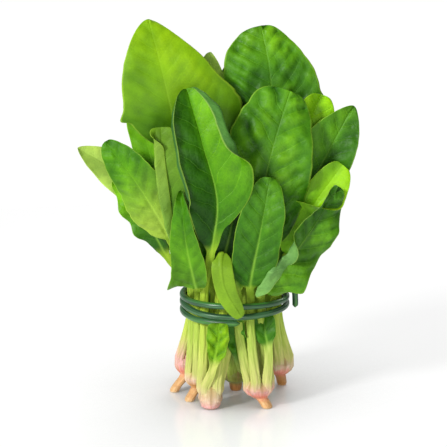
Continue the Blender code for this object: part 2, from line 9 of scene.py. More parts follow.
import bpy
import numpy as np
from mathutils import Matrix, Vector


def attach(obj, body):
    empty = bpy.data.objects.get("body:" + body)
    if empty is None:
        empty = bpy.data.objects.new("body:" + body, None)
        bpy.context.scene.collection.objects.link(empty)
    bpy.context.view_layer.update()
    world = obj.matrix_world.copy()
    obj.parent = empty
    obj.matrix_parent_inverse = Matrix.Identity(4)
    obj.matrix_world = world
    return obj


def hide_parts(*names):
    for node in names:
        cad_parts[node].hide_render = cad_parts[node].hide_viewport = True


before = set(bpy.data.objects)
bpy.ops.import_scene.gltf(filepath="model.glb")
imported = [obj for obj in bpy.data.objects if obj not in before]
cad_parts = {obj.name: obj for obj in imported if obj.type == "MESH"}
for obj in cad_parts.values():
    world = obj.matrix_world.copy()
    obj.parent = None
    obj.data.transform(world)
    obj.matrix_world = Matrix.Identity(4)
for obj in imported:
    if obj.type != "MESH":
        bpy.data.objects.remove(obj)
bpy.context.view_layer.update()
MM = 0.001


# The bunch stands on a white glossy table under soft light from all round, with a large lamp over the
# left shoulder. It is seen from the front and a little above.
VIEW_TARGET = Vector((0.0056, 0.0, 0.132))
VIEW_DISTANCE = 1.2
VIEW_ELEVATION = math.radians(12)
VIEW_WIDTH = 0.33525
SENSOR_WIDTH = 36.0
TABLE_RADIUS = 0.75
LAMPS = {
    "lamp_key": ((-1.2, -1.1, 1.0), 0.35, 30.0),
    "lamp_low": ((0.2, -1.4, 0.10), 0.8, 6.5),
    "lamp_back": ((0.5, 1.2, 1.2), 1.0, 13.0),
}
SKY_LIGHT = 0.24
SKY_SEEN = 1.02
WHITE = (1.0, 1.0, 1.0, 1.0)


def look_at(item, target):
    item.rotation_euler = (target - item.location).to_track_quat("-Z", "Y").to_euler()


def add_to_scene(name, data):
    made = bpy.data.objects.new(name, data)
    bpy.context.scene.collection.objects.link(made)
    return made


def fill(tree, node, inputs):
    """Sets or links each of a shader node's named or numbered inputs."""
    for key, value in inputs.items():
        if isinstance(value, bpy.types.NodeSocket):
            tree.links.new(value, node.inputs[key])
        else:
            node.inputs[key].default_value = value


def add_node(tree, kind, inputs=None, **settings):
    node = tree.nodes.new(kind)
    for key, value in settings.items():
        setattr(node, key, value)
    fill(tree, node, inputs or {})
    return node


def new_material(name):
    made = bpy.data.materials.new(name)
    made.use_nodes = True
    return made, made.node_tree, made.node_tree.nodes["Principled BSDF"]


camera = add_to_scene("camera", bpy.data.cameras.new("camera"))
view_direction = Vector((0.0, -math.cos(VIEW_ELEVATION), math.sin(VIEW_ELEVATION)))
camera.location = VIEW_TARGET + VIEW_DISTANCE * view_direction
look_at(camera, VIEW_TARGET)
camera.data.sensor_width = SENSOR_WIDTH
camera.data.lens = SENSOR_WIDTH * VIEW_DISTANCE / VIEW_WIDTH
bpy.context.scene.camera = camera
bpy.context.scene.view_settings.view_transform = "Standard"

for lamp_name, (place, size, watts) in LAMPS.items():
    lamp_data = bpy.data.lights.new(lamp_name, "AREA")
    lamp_data.size = size
    lamp_data.energy = watts
    lamp = add_to_scene(lamp_name, lamp_data)
    lamp.location = place
    look_at(lamp, VIEW_TARGET)

sky = bpy.data.worlds.new("sky")
sky.use_nodes = True
sky_nodes = sky.node_tree
seen = add_node(sky_nodes, "ShaderNodeLightPath").outputs["Is Camera Ray"]
whiter_behind = add_node(
    sky_nodes, "ShaderNodeMath", {0: seen, 1: SKY_SEEN - SKY_LIGHT, 2: SKY_LIGHT}, operation="MULTIPLY_ADD")
fill(sky_nodes, sky_nodes.nodes["Background"], {"Color": WHITE, "Strength": whiter_behind.outputs[0]})
bpy.context.scene.world = sky

turn = np.linspace(0.0, 2 * math.pi, 96, endpoint=False)
table_mesh = bpy.data.meshes.new("table")
table_rim = TABLE_RADIUS * np.stack((np.cos(turn), np.sin(turn), np.zeros_like(turn)), axis=1)
table_mesh.from_pydata(table_rim.tolist(), [], [list(range(len(turn)))])
table = add_to_scene("table", table_mesh)
table_paint, table_nodes, table_shader = new_material("table_gloss")
# Painted shade: the table's white glow is dimmed where little sky reaches it, a soft grey under the bunch in
# place of the reflection of the roots.
open_sky = add_node(table_nodes, "ShaderNodeAmbientOcclusion", {"Distance": 0.20}).outputs["AO"]
glow_range = {"From Min": 0.30, "From Max": 0.92, "To Min": 0.10, "To Max": 0.66}
glow_with_painted_shade = add_node(table_nodes, "ShaderNodeMapRange", {"Value": open_sky, **glow_range}).outputs["Result"]
fill(table_nodes, table_shader, {
    "Base Color": (0.44, 0.44, 0.44, 1.0), "Roughness": 0.16, "Emission Color": WHITE,
    "Emission Strength": glow_with_painted_shade,
})
table_mesh.materials.append(table_paint)


# A root end is the tap root, cut short, the pink collar over it, and the crown, where the bases of the
# petioles grow together. It is one surface of rings, from the cut up into the petioles. A plant has the
# places of its foot and crown, its height and its foot's radius in millimetres, the share of its height
# that is bare root, its colours from the cut up, and its painted shade, which darkens its stalks' greens.
Plant = namedtuple("Plant", "foot crown height foot_radius stub colours shade")
TAN = (0.82, 0.50, 0.22)
CUT = (0.88, 0.70, 0.44)
CORAL = (0.88, 0.28, 0.20)
ORANGE = (0.55, 0.26, 0.07)
PINK = (0.82, 0.45, 0.42)
ROSE = (0.80, 0.58, 0.44)
CREAM = (0.62, 0.60, 0.20)
OLIVE = (0.30, 0.36, 0.06)
LIME = (0.50, 0.64, 0.12)
PLANTS = {
    "left": ((-32, 1), (-23, 6), 26, 3.8, 0.5, (CUT, TAN, CORAL, PINK, PINK), 1),
    "inner_left": ((-20, -22), (-14, -16), 21, 3.8, 0.45, (CUT, TAN, ORANGE, ROSE, CREAM), 0.9),
    "front_left": ((-4, -38), (-4, -36), 18, 6, 0.02, (ROSE, PINK, PINK, ROSE, CREAM), 1),
    "front_right": ((38, -38), (32, -33), 20, 4.2, 0.34, (CUT, TAN, CORAL, PINK, CREAM), 0.85),
    "right": ((51, 19), (49, 12), 26, 3.8, 0.4, (TAN, ORANGE, CORAL, ROSE, CREAM), 0.9),
    "middle": ((15, 6), (15, 1), 22, 4.5, 0.3, (ORANGE, ORANGE, OLIVE, OLIVE, LIME), 0.5),
    "back_left": ((-8, 40), (-6, 36), 20, 5.2, 0.25, (CUT, TAN, CORAL, PINK, CREAM), 1),
    "back_right": ((36, 43), (34, 39), 21, 4.7, 0.3, (CUT, TAN, PINK, ROSE, CREAM), 1),
}
PLANTS = {name: Plant(*(MM * np.array(size) for size in row[:4]), *row[4:]) for name, row in PLANTS.items()}
CROWN_MOVED_BY = 0.55
NARROWED = 0.84
CROWN_ROWS = 70
CROWN_COLUMNS = 80
PETIOLE_AT_CROWN = 0.0040
RIB_SPREAD = 0.34
CREASE_DEPTH = 0.10
CROWN_ROUGHNESS = 0.03
CREASE_WIDTH = 0.22
STALK_HEIGHTS = (0.045, 0.072, 0.105, 0.150)
STALK_GREENS = ((0.58, 0.68, 0.11), (0.44, 0.60, 0.05), (0.32, 0.50, 0.025), (0.23, 0.41, 0.02))


def smoothstep(low, high, value):
    share = np.clip((value - low) / (high - low), 0.0, 1.0)
    return share * share * (3.0 - 2.0 * share)


def bumps(across, along, seed):
    """Smooth noise from about -1 to 1: random values at whole numbers, blended by a smooth step."""
    values = np.random.default_rng(seed).uniform(-1.0, 1.0, (97, 89))
    left, low = np.floor(across).astype(int), np.floor(along).astype(int)
    right_share, high_share = smoothstep(0.0, 1.0, across - left), smoothstep(0.0, 1.0, along - low)
    corner = [values[(left + i) % 97, (low + j) % 89] for i in (0, 1) for j in (0, 1)]
    near = corner[0] + (corner[1] - corner[0]) * high_share
    far = corner[2] + (corner[3] - corner[2]) * high_share
    return near + (far - near) * right_share


def quads(a, b, c, d):
    return np.stack([corner.reshape(-1) for corner in (a, b, c, d)], axis=1)


def tube_faces(rows, columns):
    """Quads of a closed tube of rings, anticlockwise seen from the far end, with a middle at each end."""
    index = np.arange(rows * columns).reshape(rows, columns)
    beside = np.roll(index, -1, axis=1)
    walls = quads(index[:-1], beside[:-1], beside[1:], index[1:])
    start, end = rows * columns, rows * columns + 1
    caps = [[start, b, a] for a, b in zip(index[0], beside[0])]
    caps += [[end, a, b] for a, b in zip(index[-1], beside[-1])]
    return walls.tolist() + caps


def add_piece(name, points, faces, finish, fields):
    """A piece in the frame: its points and faces, and the fields that its finish reads at each point."""
    mesh = bpy.data.meshes.new(name)
    mesh.from_pydata(points.reshape(-1, 3).tolist(), [], faces)
    mesh.materials.append(finish)
    mesh.shade_smooth()
    for field_name, values in fields.items():
        field = mesh.attributes.new(field_name, "FLOAT_VECTOR", "POINT")
        field.data.foreach_set("vector", np.asarray(values, np.float32).reshape(-1))
    made = add_to_scene(name + "_skin", mesh)
    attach(made, "root")
    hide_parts(name)


def calculate(tree, operation, first, second=0.0):
    return add_node(tree, "ShaderNodeMath", {0: first, 1: second}, operation=operation).outputs[0]


def times(tree, first, second):
    return calculate(tree, "MULTIPLY", first, second)


def noise(tree, place, scale, detail):
    inputs = {"Vector": place, "Scale": scale, "Detail": detail}
    return add_node(tree, "ShaderNodeTexNoise", inputs).outputs[0]


def ease(tree, value, low, high, start=0.0, end=1.0):
    """A smooth step from start to end, as the value goes from low to high."""
    inputs = {"Value": value, "From Min": low, "From Max": high, "To Min": start, "To Max": end}
    return add_node(tree, "ShaderNodeMapRange", inputs, interpolation_type="SMOOTHSTEP").outputs["Result"]


def blend(tree, share, first, second, how="MIX"):
    """One colour over another, by a share from 0 to 1."""
    first, second = ((*one, 1.0) if isinstance(one, tuple) else one for one in (first, second))
    inputs = {"Factor": share, 6: first, 7: second}
    return add_node(tree, "ShaderNodeMix", inputs, data_type="RGBA", blend_type=how).outputs[2]


def field(tree, name):
    """The three parts of one of a piece's fields, and the whole."""
    whole = add_node(tree, "ShaderNodeAttribute", attribute_name=name).outputs["Vector"]
    parts = add_node(tree, "ShaderNodeSeparateXYZ", {0: whole}).outputs
    return parts[0], parts[1], parts[2], whole


def new_group(name, inputs, outputs):
    """A shader group with its inputs, named with their kinds, and its outputs, which are single values."""
    group = bpy.data.node_groups.new(name, "ShaderNodeTree")
    for socket_name, kind in inputs.items():
        group.interface.new_socket(socket_name, in_out="INPUT", socket_type="NodeSocket" + kind)
    for socket_name in outputs:
        group.interface.new_socket(socket_name, in_out="OUTPUT", socket_type="NodeSocketFloat")
    return group, group.nodes.new("NodeGroupInput").outputs, group.nodes.new("NodeGroupOutput")


# Fibres: fine lines along a stalk or a root, from a noise that is drawn out lengthwise
fibres, given, result = new_group("fibres", {"Around": "Float", "Along": "Float"}, ("Lines",))
stretched = add_node(fibres, "ShaderNodeCombineXYZ", {
    0: times(fibres, given["Around"], 6.5),
    1: times(fibres, given["Along"], 0.7),
}).outputs[0]
lines = noise(fibres, stretched, 1.0, 3.0)
fill(fibres, result, {"Lines": ease(fibres, lines, 0.35, 0.65)})


def root_material():
    """The skin's own colour, with root fibres, brown creases between the petioles, and a damp gloss."""
    made, tree, shader = new_material("root_skin")
    level, around, crease, _ = field(tree, "root_form")
    colour = field(tree, "stalk_colour")[3]
    drawn = {"Around": times(tree, around, 1.2), "Along": times(tree, level, 3.0)}
    lines = add_node(tree, "ShaderNodeGroup", drawn, node_tree=fibres).outputs["Lines"]
    place = add_node(tree, "ShaderNodeTexCoord").outputs["Object"]
    spots = noise(tree, place, 240.0, 4.0)
    darker = blend(tree, 1.0, colour, (0.74, 0.56, 0.42), "MULTIPLY")
    colour = blend(tree, times(tree, lines, 0.55), colour, darker)
    colour = blend(tree, ease(tree, spots, 0.50, 0.72, 0.0, 0.45), colour, darker)
    colour = blend(tree, times(tree, crease, 0.7), colour, (0.36, 0.20, 0.06))
    height = calculate(tree, "ADD", times(tree, lines, 0.5), spots)
    bump = add_node(tree, "ShaderNodeBump", {"Strength": 0.45, "Distance": 0.0006, "Height": height})
    fill(tree, shader, {
        "Base Color": colour, "Roughness": 0.42, "Normal": bump.outputs[0], "Subsurface Weight": 0.12,
        "Subsurface Radius": (1.0, 0.5, 0.3), "Subsurface Scale": 0.003,
    })
    return made


ROOT_SKIN = root_material()


def stalk_colours(plant, height):
    """Colours up a plant: the cut, the root, its collar and the crown, then greener with height, with the
    greens darkened by the plant's painted shade.
    """
    stub = plant.stub
    levels = np.array((0.0, 0.06, max(stub - 0.10, 0.08), stub + 0.12, stub + 0.30, 1.0)) * plant.height
    colours = [plant.colours[i] for i in (0, 1, 1, 2, 3, 4)]
    # Painted shade: the greens darkened by the plant's shade factor.
    colours += [[plant.shade ** 1.4 * green[0], plant.shade * green[1], green[2]] for green in STALK_GREENS]
    return np.stack([np.interp(height, (*levels, *STALK_HEIGHTS), part) for part in zip(*colours)], axis=-1)


def crown_form(plant, ring, level):
    """Middle and radius at each level, from 0 at the cut to 1, where the petioles stand free: the root is
    even as far as its stub, then swells to the crown and narrows again inside the petioles."""
    top, foot, stub = ring + 0.85 * PETIOLE_AT_CROWN, plant.foot_radius, plant.stub
    levels = (0.0, 0.05, stub * 0.9 + 0.05, stub + 0.16, stub + 0.36, 0.85, 1.0)
    collar = max(1.25 * foot, 0.74 * top)
    radii = (0.82 * foot, foot, 1.12 * foot, collar, 0.93 * top, NARROWED * top, 0.70 * top)
    fine = np.linspace(-0.1, 1.1, 241)
    smooth = np.convolve(np.interp(fine, levels, radii), np.full(13, 1 / 13), mode="same")
    radius = np.interp(level, fine[6:-6], smooth[6:-6])
    moved = smoothstep(0.0, CROWN_MOVED_BY, level)[:, None]
    return (1 - moved) * plant.foot + moved * plant.crown, radius


def petiole_foot(node):
    """Where a leaf's petiole leaves its crown: the middle of the lowest ring of its solid."""
    points = np.array([vertex.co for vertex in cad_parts[node].data.vertices])
    lowest = points[points[:, 2] < points[:, 2].min() + 0.0001]
    return (lowest.min(axis=0) + lowest.max(axis=0)) / 2


FEET = {node: petiole_foot(node) for node in sorted(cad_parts) if node.startswith("leaf_")}


def nearest_plant(foot):
    return min(PLANTS.values(), key=lambda plant: math.dist(foot[:2], plant.crown))


def feet_on(plant):
    return [foot for foot in FEET.values() if nearest_plant(foot) is plant]


def ring_of(plant):
    """Radius of the ring that a plant's petioles stand on."""
    return float(np.mean([math.dist(foot[:2], plant.crown) for foot in feet_on(plant)]))


def make_crown(name, plant):
    """Rings whose radius follows the root, collar and crown, with a swelling under each petiole."""
    turns = np.array([math.atan2(y, x) for x, y in (foot[:2] - plant.crown for foot in feet_on(plant))])
    level = np.linspace(0.0, 1.0, CROWN_ROWS)
    around = np.linspace(-math.pi, math.pi, CROWN_COLUMNS, endpoint=False)
    centre, profile = crown_form(plant, ring_of(plant), level)
    away = np.abs((around[:, None] - turns[None, :] + math.pi) % (2 * math.pi) - math.pi)
    away, next_away = np.sort(away, axis=1)[:, :2].T
    swell = np.exp(-((away / RIB_SPREAD) ** 2))[None, :]
    ribbed = smoothstep(plant.stub + 0.05, plant.stub + 0.45, level)[:, None]
    seed = sorted(PLANTS).index(name)
    rough = bumps(around[None, :] * 3.0 + 9.5, level[:, None] * 14.0, seed)
    uneven = CROWN_ROUGHNESS * rough * (1 - 0.6 * ribbed)
    radius = profile[:, None] * (1 - CREASE_DEPTH * ribbed * (1 - swell) + uneven)
    height = level * plant.height
    rings = np.stack((
        centre[:, :1] + radius * np.cos(around),
        centre[:, 1:] + radius * np.sin(around),
        np.broadcast_to(height[:, None], radius.shape),
    ), axis=-1)
    ends = np.array(((*centre[0], 0.0), (*centre[-1], plant.height)))
    crease = ribbed * np.exp(-(((next_away - away) / CREASE_WIDTH) ** 2))[None, :]
    form = np.stack(np.broadcast_arrays(level[:, None], np.abs(around), crease), axis=-1)
    form = np.concatenate((form.reshape(-1, 3), ((0.0, 0.0, 0.0), (1.0, 0.0, 1.0))))
    skin = np.broadcast_to(stalk_colours(plant, height)[:, None], rings.shape)
    skin = np.concatenate((skin.reshape(-1, 3), (plant.colours[0], plant.colours[4])))
    points, faces = np.concatenate((rings.reshape(-1, 3), ends)), tube_faces(CROWN_ROWS, CROWN_COLUMNS)
    fields = {"root_form": form, "stalk_colour": skin}
    add_piece("crown_" + name, points, faces, ROOT_SKIN, fields)


for plant_name, plant in PLANTS.items():
    make_crown(plant_name, plant)


# A leaf is one piece: a round ribbed petiole that flattens into the midrib, and a blade puckered between
# its side veins, darker on top than below, with its thin edge painted light, as light shows through it.
FRONT = (0.0, -1.0, 0.15)
BACK = (0.0, 1.0, 0.15)
TIE_CENTRE = np.array((0.014, 0.0, 0.0755))
TIE_HALF_HEIGHT = 0.0085
PETIOLE_HALF_WIDTH = 0.0032
PETIOLE_DEPTH = 0.0046
RIB_HALF_WIDTH_AT_TIP = 0.0008
RIB_DEPTH_AT_TIP = 0.0005
BLADE_HALF_THICKNESS = 0.0004
EDGE_HALF_THICKNESS = 0.00012
RIB_SHARE = 0.16
SIDE_VEINS = 8.0
LEAST_VEIN_STEP = 0.009
WAVE_STEP = 1.3
SIDE_VEIN_LEAN = 0.75
PUCKER_HEIGHT = 0.0012
RUFFLE_HEIGHT, RUFFLE_LENGTH = 0.0009, 0.008
BEND_HEIGHT, BEND_SIZE = 0.0016, (0.018, 0.022)
DIMPLE_SIZE, GRAIN_SIZE, PATCH_SIZE = (0.007, 0.007), (0.003, 0.003), (0.011, 0.015)
EDGE_UNEVENNESS, EDGE_NICKS = 0.055, 0.014
GROOVE_DEPTH = 0.0005
FLAT_RIBS = 3.0
RIB_ROUNDING = 1.02
FLUTE_DEPTH = 0.09
PAINTED_CREASE_SHADE = 0.28
TIP_ROUNDING = 0.04
PATCH_SHADE = 0.16
CROWN_REACH = 0.20
BASE_ROWS, PETIOLE_ROWS, BLADE_ROWS, COLUMNS = 10, 28, 80, 46
MIDRIB_LINE = 0.30
TONE_RANGE = (0.15, 2.0)
UPPER_POWERS, UNDER_POWERS = (1.5, 1.0, 1.0), (0.7, 0.5, 0.5)
UNROLLED = (0, 0, 1, 0.6, 0.4)

# In millimetres and degrees: a leaf's place in the tie as a turn and a distance from the middle, or None,
# the middle line of its blade, and how its upper face looks from base to tip. For its left and right half:
# the width, the fold at the rib, the curl beyond it, the outline's rise and fall, the lobe, and the roll,
# which is how far the edge turns over, from where to where along the blade, from which share of the half
# width and over how much of it. The lobes share a place, length and sweep. Then the height and count of the
# edge waves, the look, the painted light and shade at left, right, base and tip, the painted glow in the
# middle, the yellowing at base and tip, and how puckered, uneven, ragged, veined and finely made the leaf
# is.
Leaf = namedtuple(
    "Leaf", "slot blade faces width fold curl outline outline_right lobes lobe_at rolls wave look tone glow "
    "yellowing pucker bend ragged veined detail",
    defaults=((FRONT,), (20, 20), (12, 12), (10, 10), (0.55, 0.65), None, (0, 0), (0.10, 0.09, 0.35),
              (UNROLLED, UNROLLED), (1.5, 1.5), "middle", (1, 1, 1, 1), 0, (0, 0), 0.6, 1, 1, 0.6, 1))

# The colours of a leaf's upper and lower face, and its slot
Look = namedtuple("Look", "slot upper under")
LOOKS = {
    "yellow": Look("leaf_bright", (0.220, 0.440, 0.002), (0.22, 0.40, 0.015)),
    "bright": Look("leaf_bright", (0.115, 0.345, 0.001), (0.19, 0.52, 0.02)),
    "folded": Look("leaf_bright", (0.115, 0.345, 0.001), (0.065, 0.20, 0.03)),
    "olive": Look("leaf_middle", (0.085, 0.260, 0.002), (0.16, 0.32, 0.03)),
    "fresh": Look("leaf_middle", (0.080, 0.270, 0.001), (0.14, 0.32, 0.05)),
    "middle": Look("leaf_middle", (0.055, 0.205, 0.003), (0.12, 0.29, 0.06)),
    "deep": Look("leaf_dark", (0.036, 0.150, 0.003), (0.11, 0.27, 0.06)),
    # The dark look, on leaves in the depth of the bunch, is painted shade.
    "dark": Look("leaf_dark", (0.024, 0.105, 0.003), (0.09, 0.22, 0.05)),
    "pale": Look("leaf_pale", (0.27, 0.46, 0.07), (0.29, 0.47, 0.10)),
}
YELLOWED = np.array((0.28, 0.44, 0.040))


def curve_through(points, at):
    """Places and directions on a smooth curve through the points: cubics whose slopes at each point are
    those of the parabola through its neighbours."""
    points = np.asarray(points, float)
    steps = np.linalg.norm(np.diff(points, axis=0), axis=1)
    slopes = np.diff(points, axis=0) / steps[:, None]
    before, after = steps[:-1, None], steps[1:, None]
    inner = (slopes[:-1] * after + slopes[1:] * before) / (before + after)
    tangents = np.vstack((1.5 * slopes[0] - 0.5 * inner[0], inner, 1.5 * slopes[-1] - 0.5 * inner[-1]))
    index = np.clip(at.astype(int), 0, len(steps) - 1)
    part = (at - index)[:, None]
    step = steps[index][:, None]
    start, end = points[index], points[index + 1]
    leave, arrive = tangents[index] * step, tangents[index + 1] * step
    place = ((2 * part**3 - 3 * part**2 + 1) * start + (part**3 - 2 * part**2 + part) * leave
             + (3 * part**2 - 2 * part**3) * end + (part**3 - part**2) * arrive)
    direction = ((6 * part**2 - 6 * part) * (start - end) + (3 * part**2 - 4 * part + 1) * leave
                 + (3 * part**2 - 2 * part) * arrive)
    return place, direction / np.linalg.norm(direction, axis=1)[:, None]


def slot_place(slot, height):
    angle, radius = math.radians(slot[0]), MM * slot[1]
    return TIE_CENTRE + np.array((radius * math.cos(angle), radius * math.sin(angle), height))


def skin_faces(rows, columns):
    """Quads of the closed skin over an upper and a lower grid."""
    upper, lower = np.arange(2 * rows * columns).reshape(2, rows, columns)
    return np.concatenate((
        quads(upper[:-1, :-1], upper[:-1, 1:], upper[1:, 1:], upper[1:, :-1]),
        quads(lower[1:, 1:], lower[:-1, 1:], lower[:-1, :-1], lower[1:, :-1]),
        quads(upper[:-1, -1], lower[:-1, -1], lower[1:, -1], upper[1:, -1]),
        quads(lower[:-1, 0], upper[:-1, 0], upper[1:, 0], lower[1:, 0]),
        quads(upper[0, :-1], lower[0, :-1], lower[0, 1:], upper[0, 1:]),
        quads(lower[-1, :-1], upper[-1, :-1], upper[-1, 1:], lower[-1, 1:]),
    )).tolist()


def in_crown(plant, foot):
    """Points of a petiole's base, from where it comes out of the crown's side up to its foot."""
    ring = ring_of(plant)
    level = np.linspace(max(CROWN_REACH, plant.stub + 0.1), 0.94, 5)
    centre, radius = crown_form(plant, ring, level)
    away = np.array(foot[:2]) - plant.crown
    away /= np.linalg.norm(away)
    inside = np.interp(level, (CROWN_REACH, 0.70, 1.0), (0.0052, 0.0034, 0.0))
    outer = np.interp(level, (0.0, 0.75, 1.0), (0.0, 1.0, 1.0))
    free = outer * smoothstep(0.8, 1.0, level)
    reach = np.minimum(radius / NARROWED * outer - inside, ring) * (1 - free) + ring * free
    across = centre + np.maximum(reach, 0.0)[:, None] * away
    return np.concatenate((across, (level * plant.height)[:, None]), axis=1)


def leaf_line(one, foot, plant):
    """The middle line from inside the crown through the tie to the tip: for each row its place, direction,
    knots passed since the foot, and share of the blade, which is below 0 on the petiole."""
    blade_knots = len(one.blade) - 1
    blade_share = (1 - np.cos(np.linspace(0.0, math.pi, int(BLADE_ROWS * one.detail)))) / 2
    held = [slot_place(one.slot, side * TIE_HALF_HEIGHT) for side in (-1, 1)] if one.slot else []
    blade_start = 1.0 + len(held)
    petiole = np.linspace(0.0, blade_start, PETIOLE_ROWS, endpoint=False)
    along = np.concatenate((petiole, blade_start + blade_knots * blade_share))
    place, direction = curve_through([foot, *held, *(MM * np.array(one.blade))], along)
    buried = in_crown(plant, foot)
    low_along = np.linspace(0.0, len(buried), BASE_ROWS, endpoint=False)
    low_place, low_direction = curve_through([*buried, foot], low_along)
    easing = smoothstep(0.0, 1.0, np.linspace(0.0, 1.0, BASE_ROWS))[:, None]
    low_direction = (1 - easing) * low_direction + easing * direction[0]
    low_direction /= np.linalg.norm(low_direction, axis=1)[:, None]
    place, direction = np.concatenate((low_place, place)), np.concatenate((low_direction, direction))
    along = np.concatenate((np.zeros(BASE_ROWS), along))
    return place, direction, along, ((along - blade_start) / blade_knots)[:, None]


def leaf_surfaces(one, foot, seed):
    """Upper and lower grids of a leaf and the fields for its finish.

    Along the blade the half width is a power of the distance from each end, plus a lobe at each side.
    Across it, each half leaves the rib at its fold angle and bends by its curl and, near the edge, by its
    roll: the section is that angle summed outwards. The edge waves, and the blade swells into pillows
    between its side veins, which leave the rib in steps and lean towards the tip. The petiole is round and
    fluted, and starts inside the crown. The lower face bulges over the rib, the upper one is sunk over it.
    """
    plant = nearest_plant(foot)
    columns = int(COLUMNS * one.detail) // 2 * 2 + 1
    place, direction, along, share = leaf_line(one, foot, plant)
    blade = np.clip(share, 0.0, 1.0)
    grown = smoothstep(-0.5, 0.25, share)
    run = np.concatenate(((0.0,), np.cumsum(np.linalg.norm(np.diff(place, axis=0), axis=1))))[:, None]
    run -= run[BASE_ROWS + PETIOLE_ROWS]
    length = run[-1, 0]

    steps = np.linspace(0.0, 1.0, len(one.faces))
    facing = np.stack([np.interp(blade[:, 0], steps, axis) for axis in zip(*one.faces)], axis=1)
    facing -= np.sum(facing * direction, axis=1)[:, None] * direction
    facing /= np.linalg.norm(facing, axis=1)[:, None]
    side = np.cross(direction, facing)

    rib = (PETIOLE_AT_CROWN + (PETIOLE_HALF_WIDTH - PETIOLE_AT_CROWN) * np.clip(along, 0.0, 1.0)[:, None]
           + (RIB_HALF_WIDTH_AT_TIP - PETIOLE_HALF_WIDTH) * smoothstep(-0.1, 0.8, blade)
           ) * (1 - 0.8 * smoothstep(0.9, 1.0, blade))
    depth = PETIOLE_DEPTH + (RIB_DEPTH_AT_TIP - PETIOLE_DEPTH) * smoothstep(-0.3, 0.7, blade)
    column = np.linspace(-1.0, 1.0, columns)[None, :]
    sign = np.where(column >= 0, 1.0, -1.0)

    def by_side(pair):
        return np.where(column >= 0, pair[1], pair[0])

    half_width = MM * by_side(one.width)
    rise, fall = (by_side(halves) for halves in zip(one.outline, one.outline_right or one.outline))
    peak = rise / (rise + fall)
    from_tip = np.sqrt((1 - blade) * (1 - blade + TIP_ROUNDING))
    spread = (blade / peak) ** rise * (from_tip / (1 - peak)) ** fall
    lobe = by_side(one.lobes) * np.exp(-(((blade - one.lobe_at[0]) / one.lobe_at[1]) ** 2)) * (blade > 0)
    uneven = 1 + EDGE_UNEVENNESS * one.ragged * bumps(blade * 7.0 + 3.0, 5.0 * sign + 7.5, seed)
    uneven += EDGE_NICKS * one.ragged * bumps(blade * 25.0 + 3.0, 5.0 * sign + 7.5, seed + 7)
    width = np.maximum(half_width * (spread + lobe) * uneven, rib)
    flat = np.clip((width - rib) / (FLAT_RIBS * rib), 0.0, 1.0)
    inner = np.clip(np.abs(column) / RIB_SHARE, 0.0, 1.0)
    outer = np.clip((np.abs(column) - RIB_SHARE) / (1 - RIB_SHARE), 0.0, 1.0)
    round_reach = np.sin(np.abs(column) * math.pi / 2) * rib
    reach = flat * (inner * rib + outer * (width - rib)) + (1 - flat) * round_reach
    across = sign * reach
    to_edge = reach / width

    turned, start, end, from_share, bent_over = (by_side(halves) for halves in zip(*one.rolls))
    rolled = smoothstep(start - 0.12, start + 0.12, blade) * (1 - smoothstep(end - 0.12, end + 0.12, blade))
    rolled = rolled * np.clip((to_edge - from_share) / bent_over, 0, 1)
    lean = by_side(np.radians(one.fold)) + by_side(np.radians(one.curl)) * to_edge
    lean = (lean + np.radians(turned) * rolled) * grown * flat
    middle_lean = (lean[:, 1:] + lean[:, :-1]) / 2
    step = np.diff(across, axis=1)
    nowhere = np.zeros((len(along), 1))
    outward = np.concatenate((nowhere, np.cumsum(np.cos(middle_lean) * step, axis=1)), axis=1)
    upward = np.concatenate((nowhere, np.cumsum(np.sin(middle_lean) * step * sign[:, 1:], axis=1)), axis=1)
    rib_column = columns // 2
    outward -= outward[:, rib_column:rib_column + 1]
    upward -= upward[:, rib_column:rib_column + 1]

    def unevenness(size, start, draw):
        return bumps(across / size[0] + start, run / size[1] + start, seed + draw)

    wave_height, wave_count = one.wave
    waving = np.sin(2 * math.pi * wave_count * blade + WAVE_STEP * sign)
    wave = MM * wave_height * flat * to_edge**2 * waving
    wave += BEND_HEIGHT * one.bend * unevenness(BEND_SIZE, 40.0, 4) * smoothstep(0, 1, to_edge) * flat
    ruffle = RUFFLE_HEIGHT * bumps(run / RUFFLE_LENGTH + 20.0, 3.0 * sign + 4.5, seed + 1) * to_edge**4
    vein_step = max(length / SIDE_VEINS, LEAST_VEIN_STEP)
    phase = (run + 0.35 * vein_step * bumps(run / 0.013 + 11.0, 2.0 * sign + 3.5, seed + 5)
             - SIDE_VEIN_LEAN * reach - 7.0 * reach**2) / vein_step + 0.25 * sign
    between = 1 - np.abs(2 * (phase - np.floor(phase)) - 1)
    within = smoothstep(0.03, 0.25, to_edge) * (1 - 0.8 * smoothstep(0.75, 1.0, to_edge)) * flat
    pillow = (np.sqrt(between) - 0.6) + 0.55 * unevenness(DIMPLE_SIZE, 30.0, 2)
    pillow += 0.25 * unevenness(GRAIN_SIZE, 60.0, 3)
    swollen = (ruffle * flat + PUCKER_HEIGHT * pillow * within) * one.pucker

    back = -one.lobe_at[2] * lobe * half_width * to_edge**2
    middle = (place[:, None, :] + outward[..., None] * side[:, None, :]
              + (upward + wave)[..., None] * facing[:, None, :] + back[..., None] * direction[:, None, :])
    normal = np.cos(lean)[..., None] * facing[:, None, :]
    normal = normal - (sign * np.sin(lean))[..., None] * side[:, None, :]
    middle = middle + swollen[..., None] * normal
    bulge = np.sqrt(np.clip(1 - (across / (RIB_ROUNDING * rib)) ** 2, 0.0, 1.0))
    skin = BLADE_HALF_THICKNESS + (EDGE_HALF_THICKNESS - BLADE_HALF_THICKNESS) * to_edge**6 * flat
    flutes = 1 + FLUTE_DEPTH * np.cos(3 * math.pi * column) * (1 - 0.7 * grown)
    groove = GROOVE_DEPTH * one.veined * grown * np.exp(-((across / (0.8 * rib)) ** 2))
    over = skin + 0.5 * depth * (1 - grown) * bulge * flutes - groove
    under = skin + 0.6 * depth * bulge * flutes
    upper, lower = middle + over[..., None] * normal, middle - under[..., None] * normal
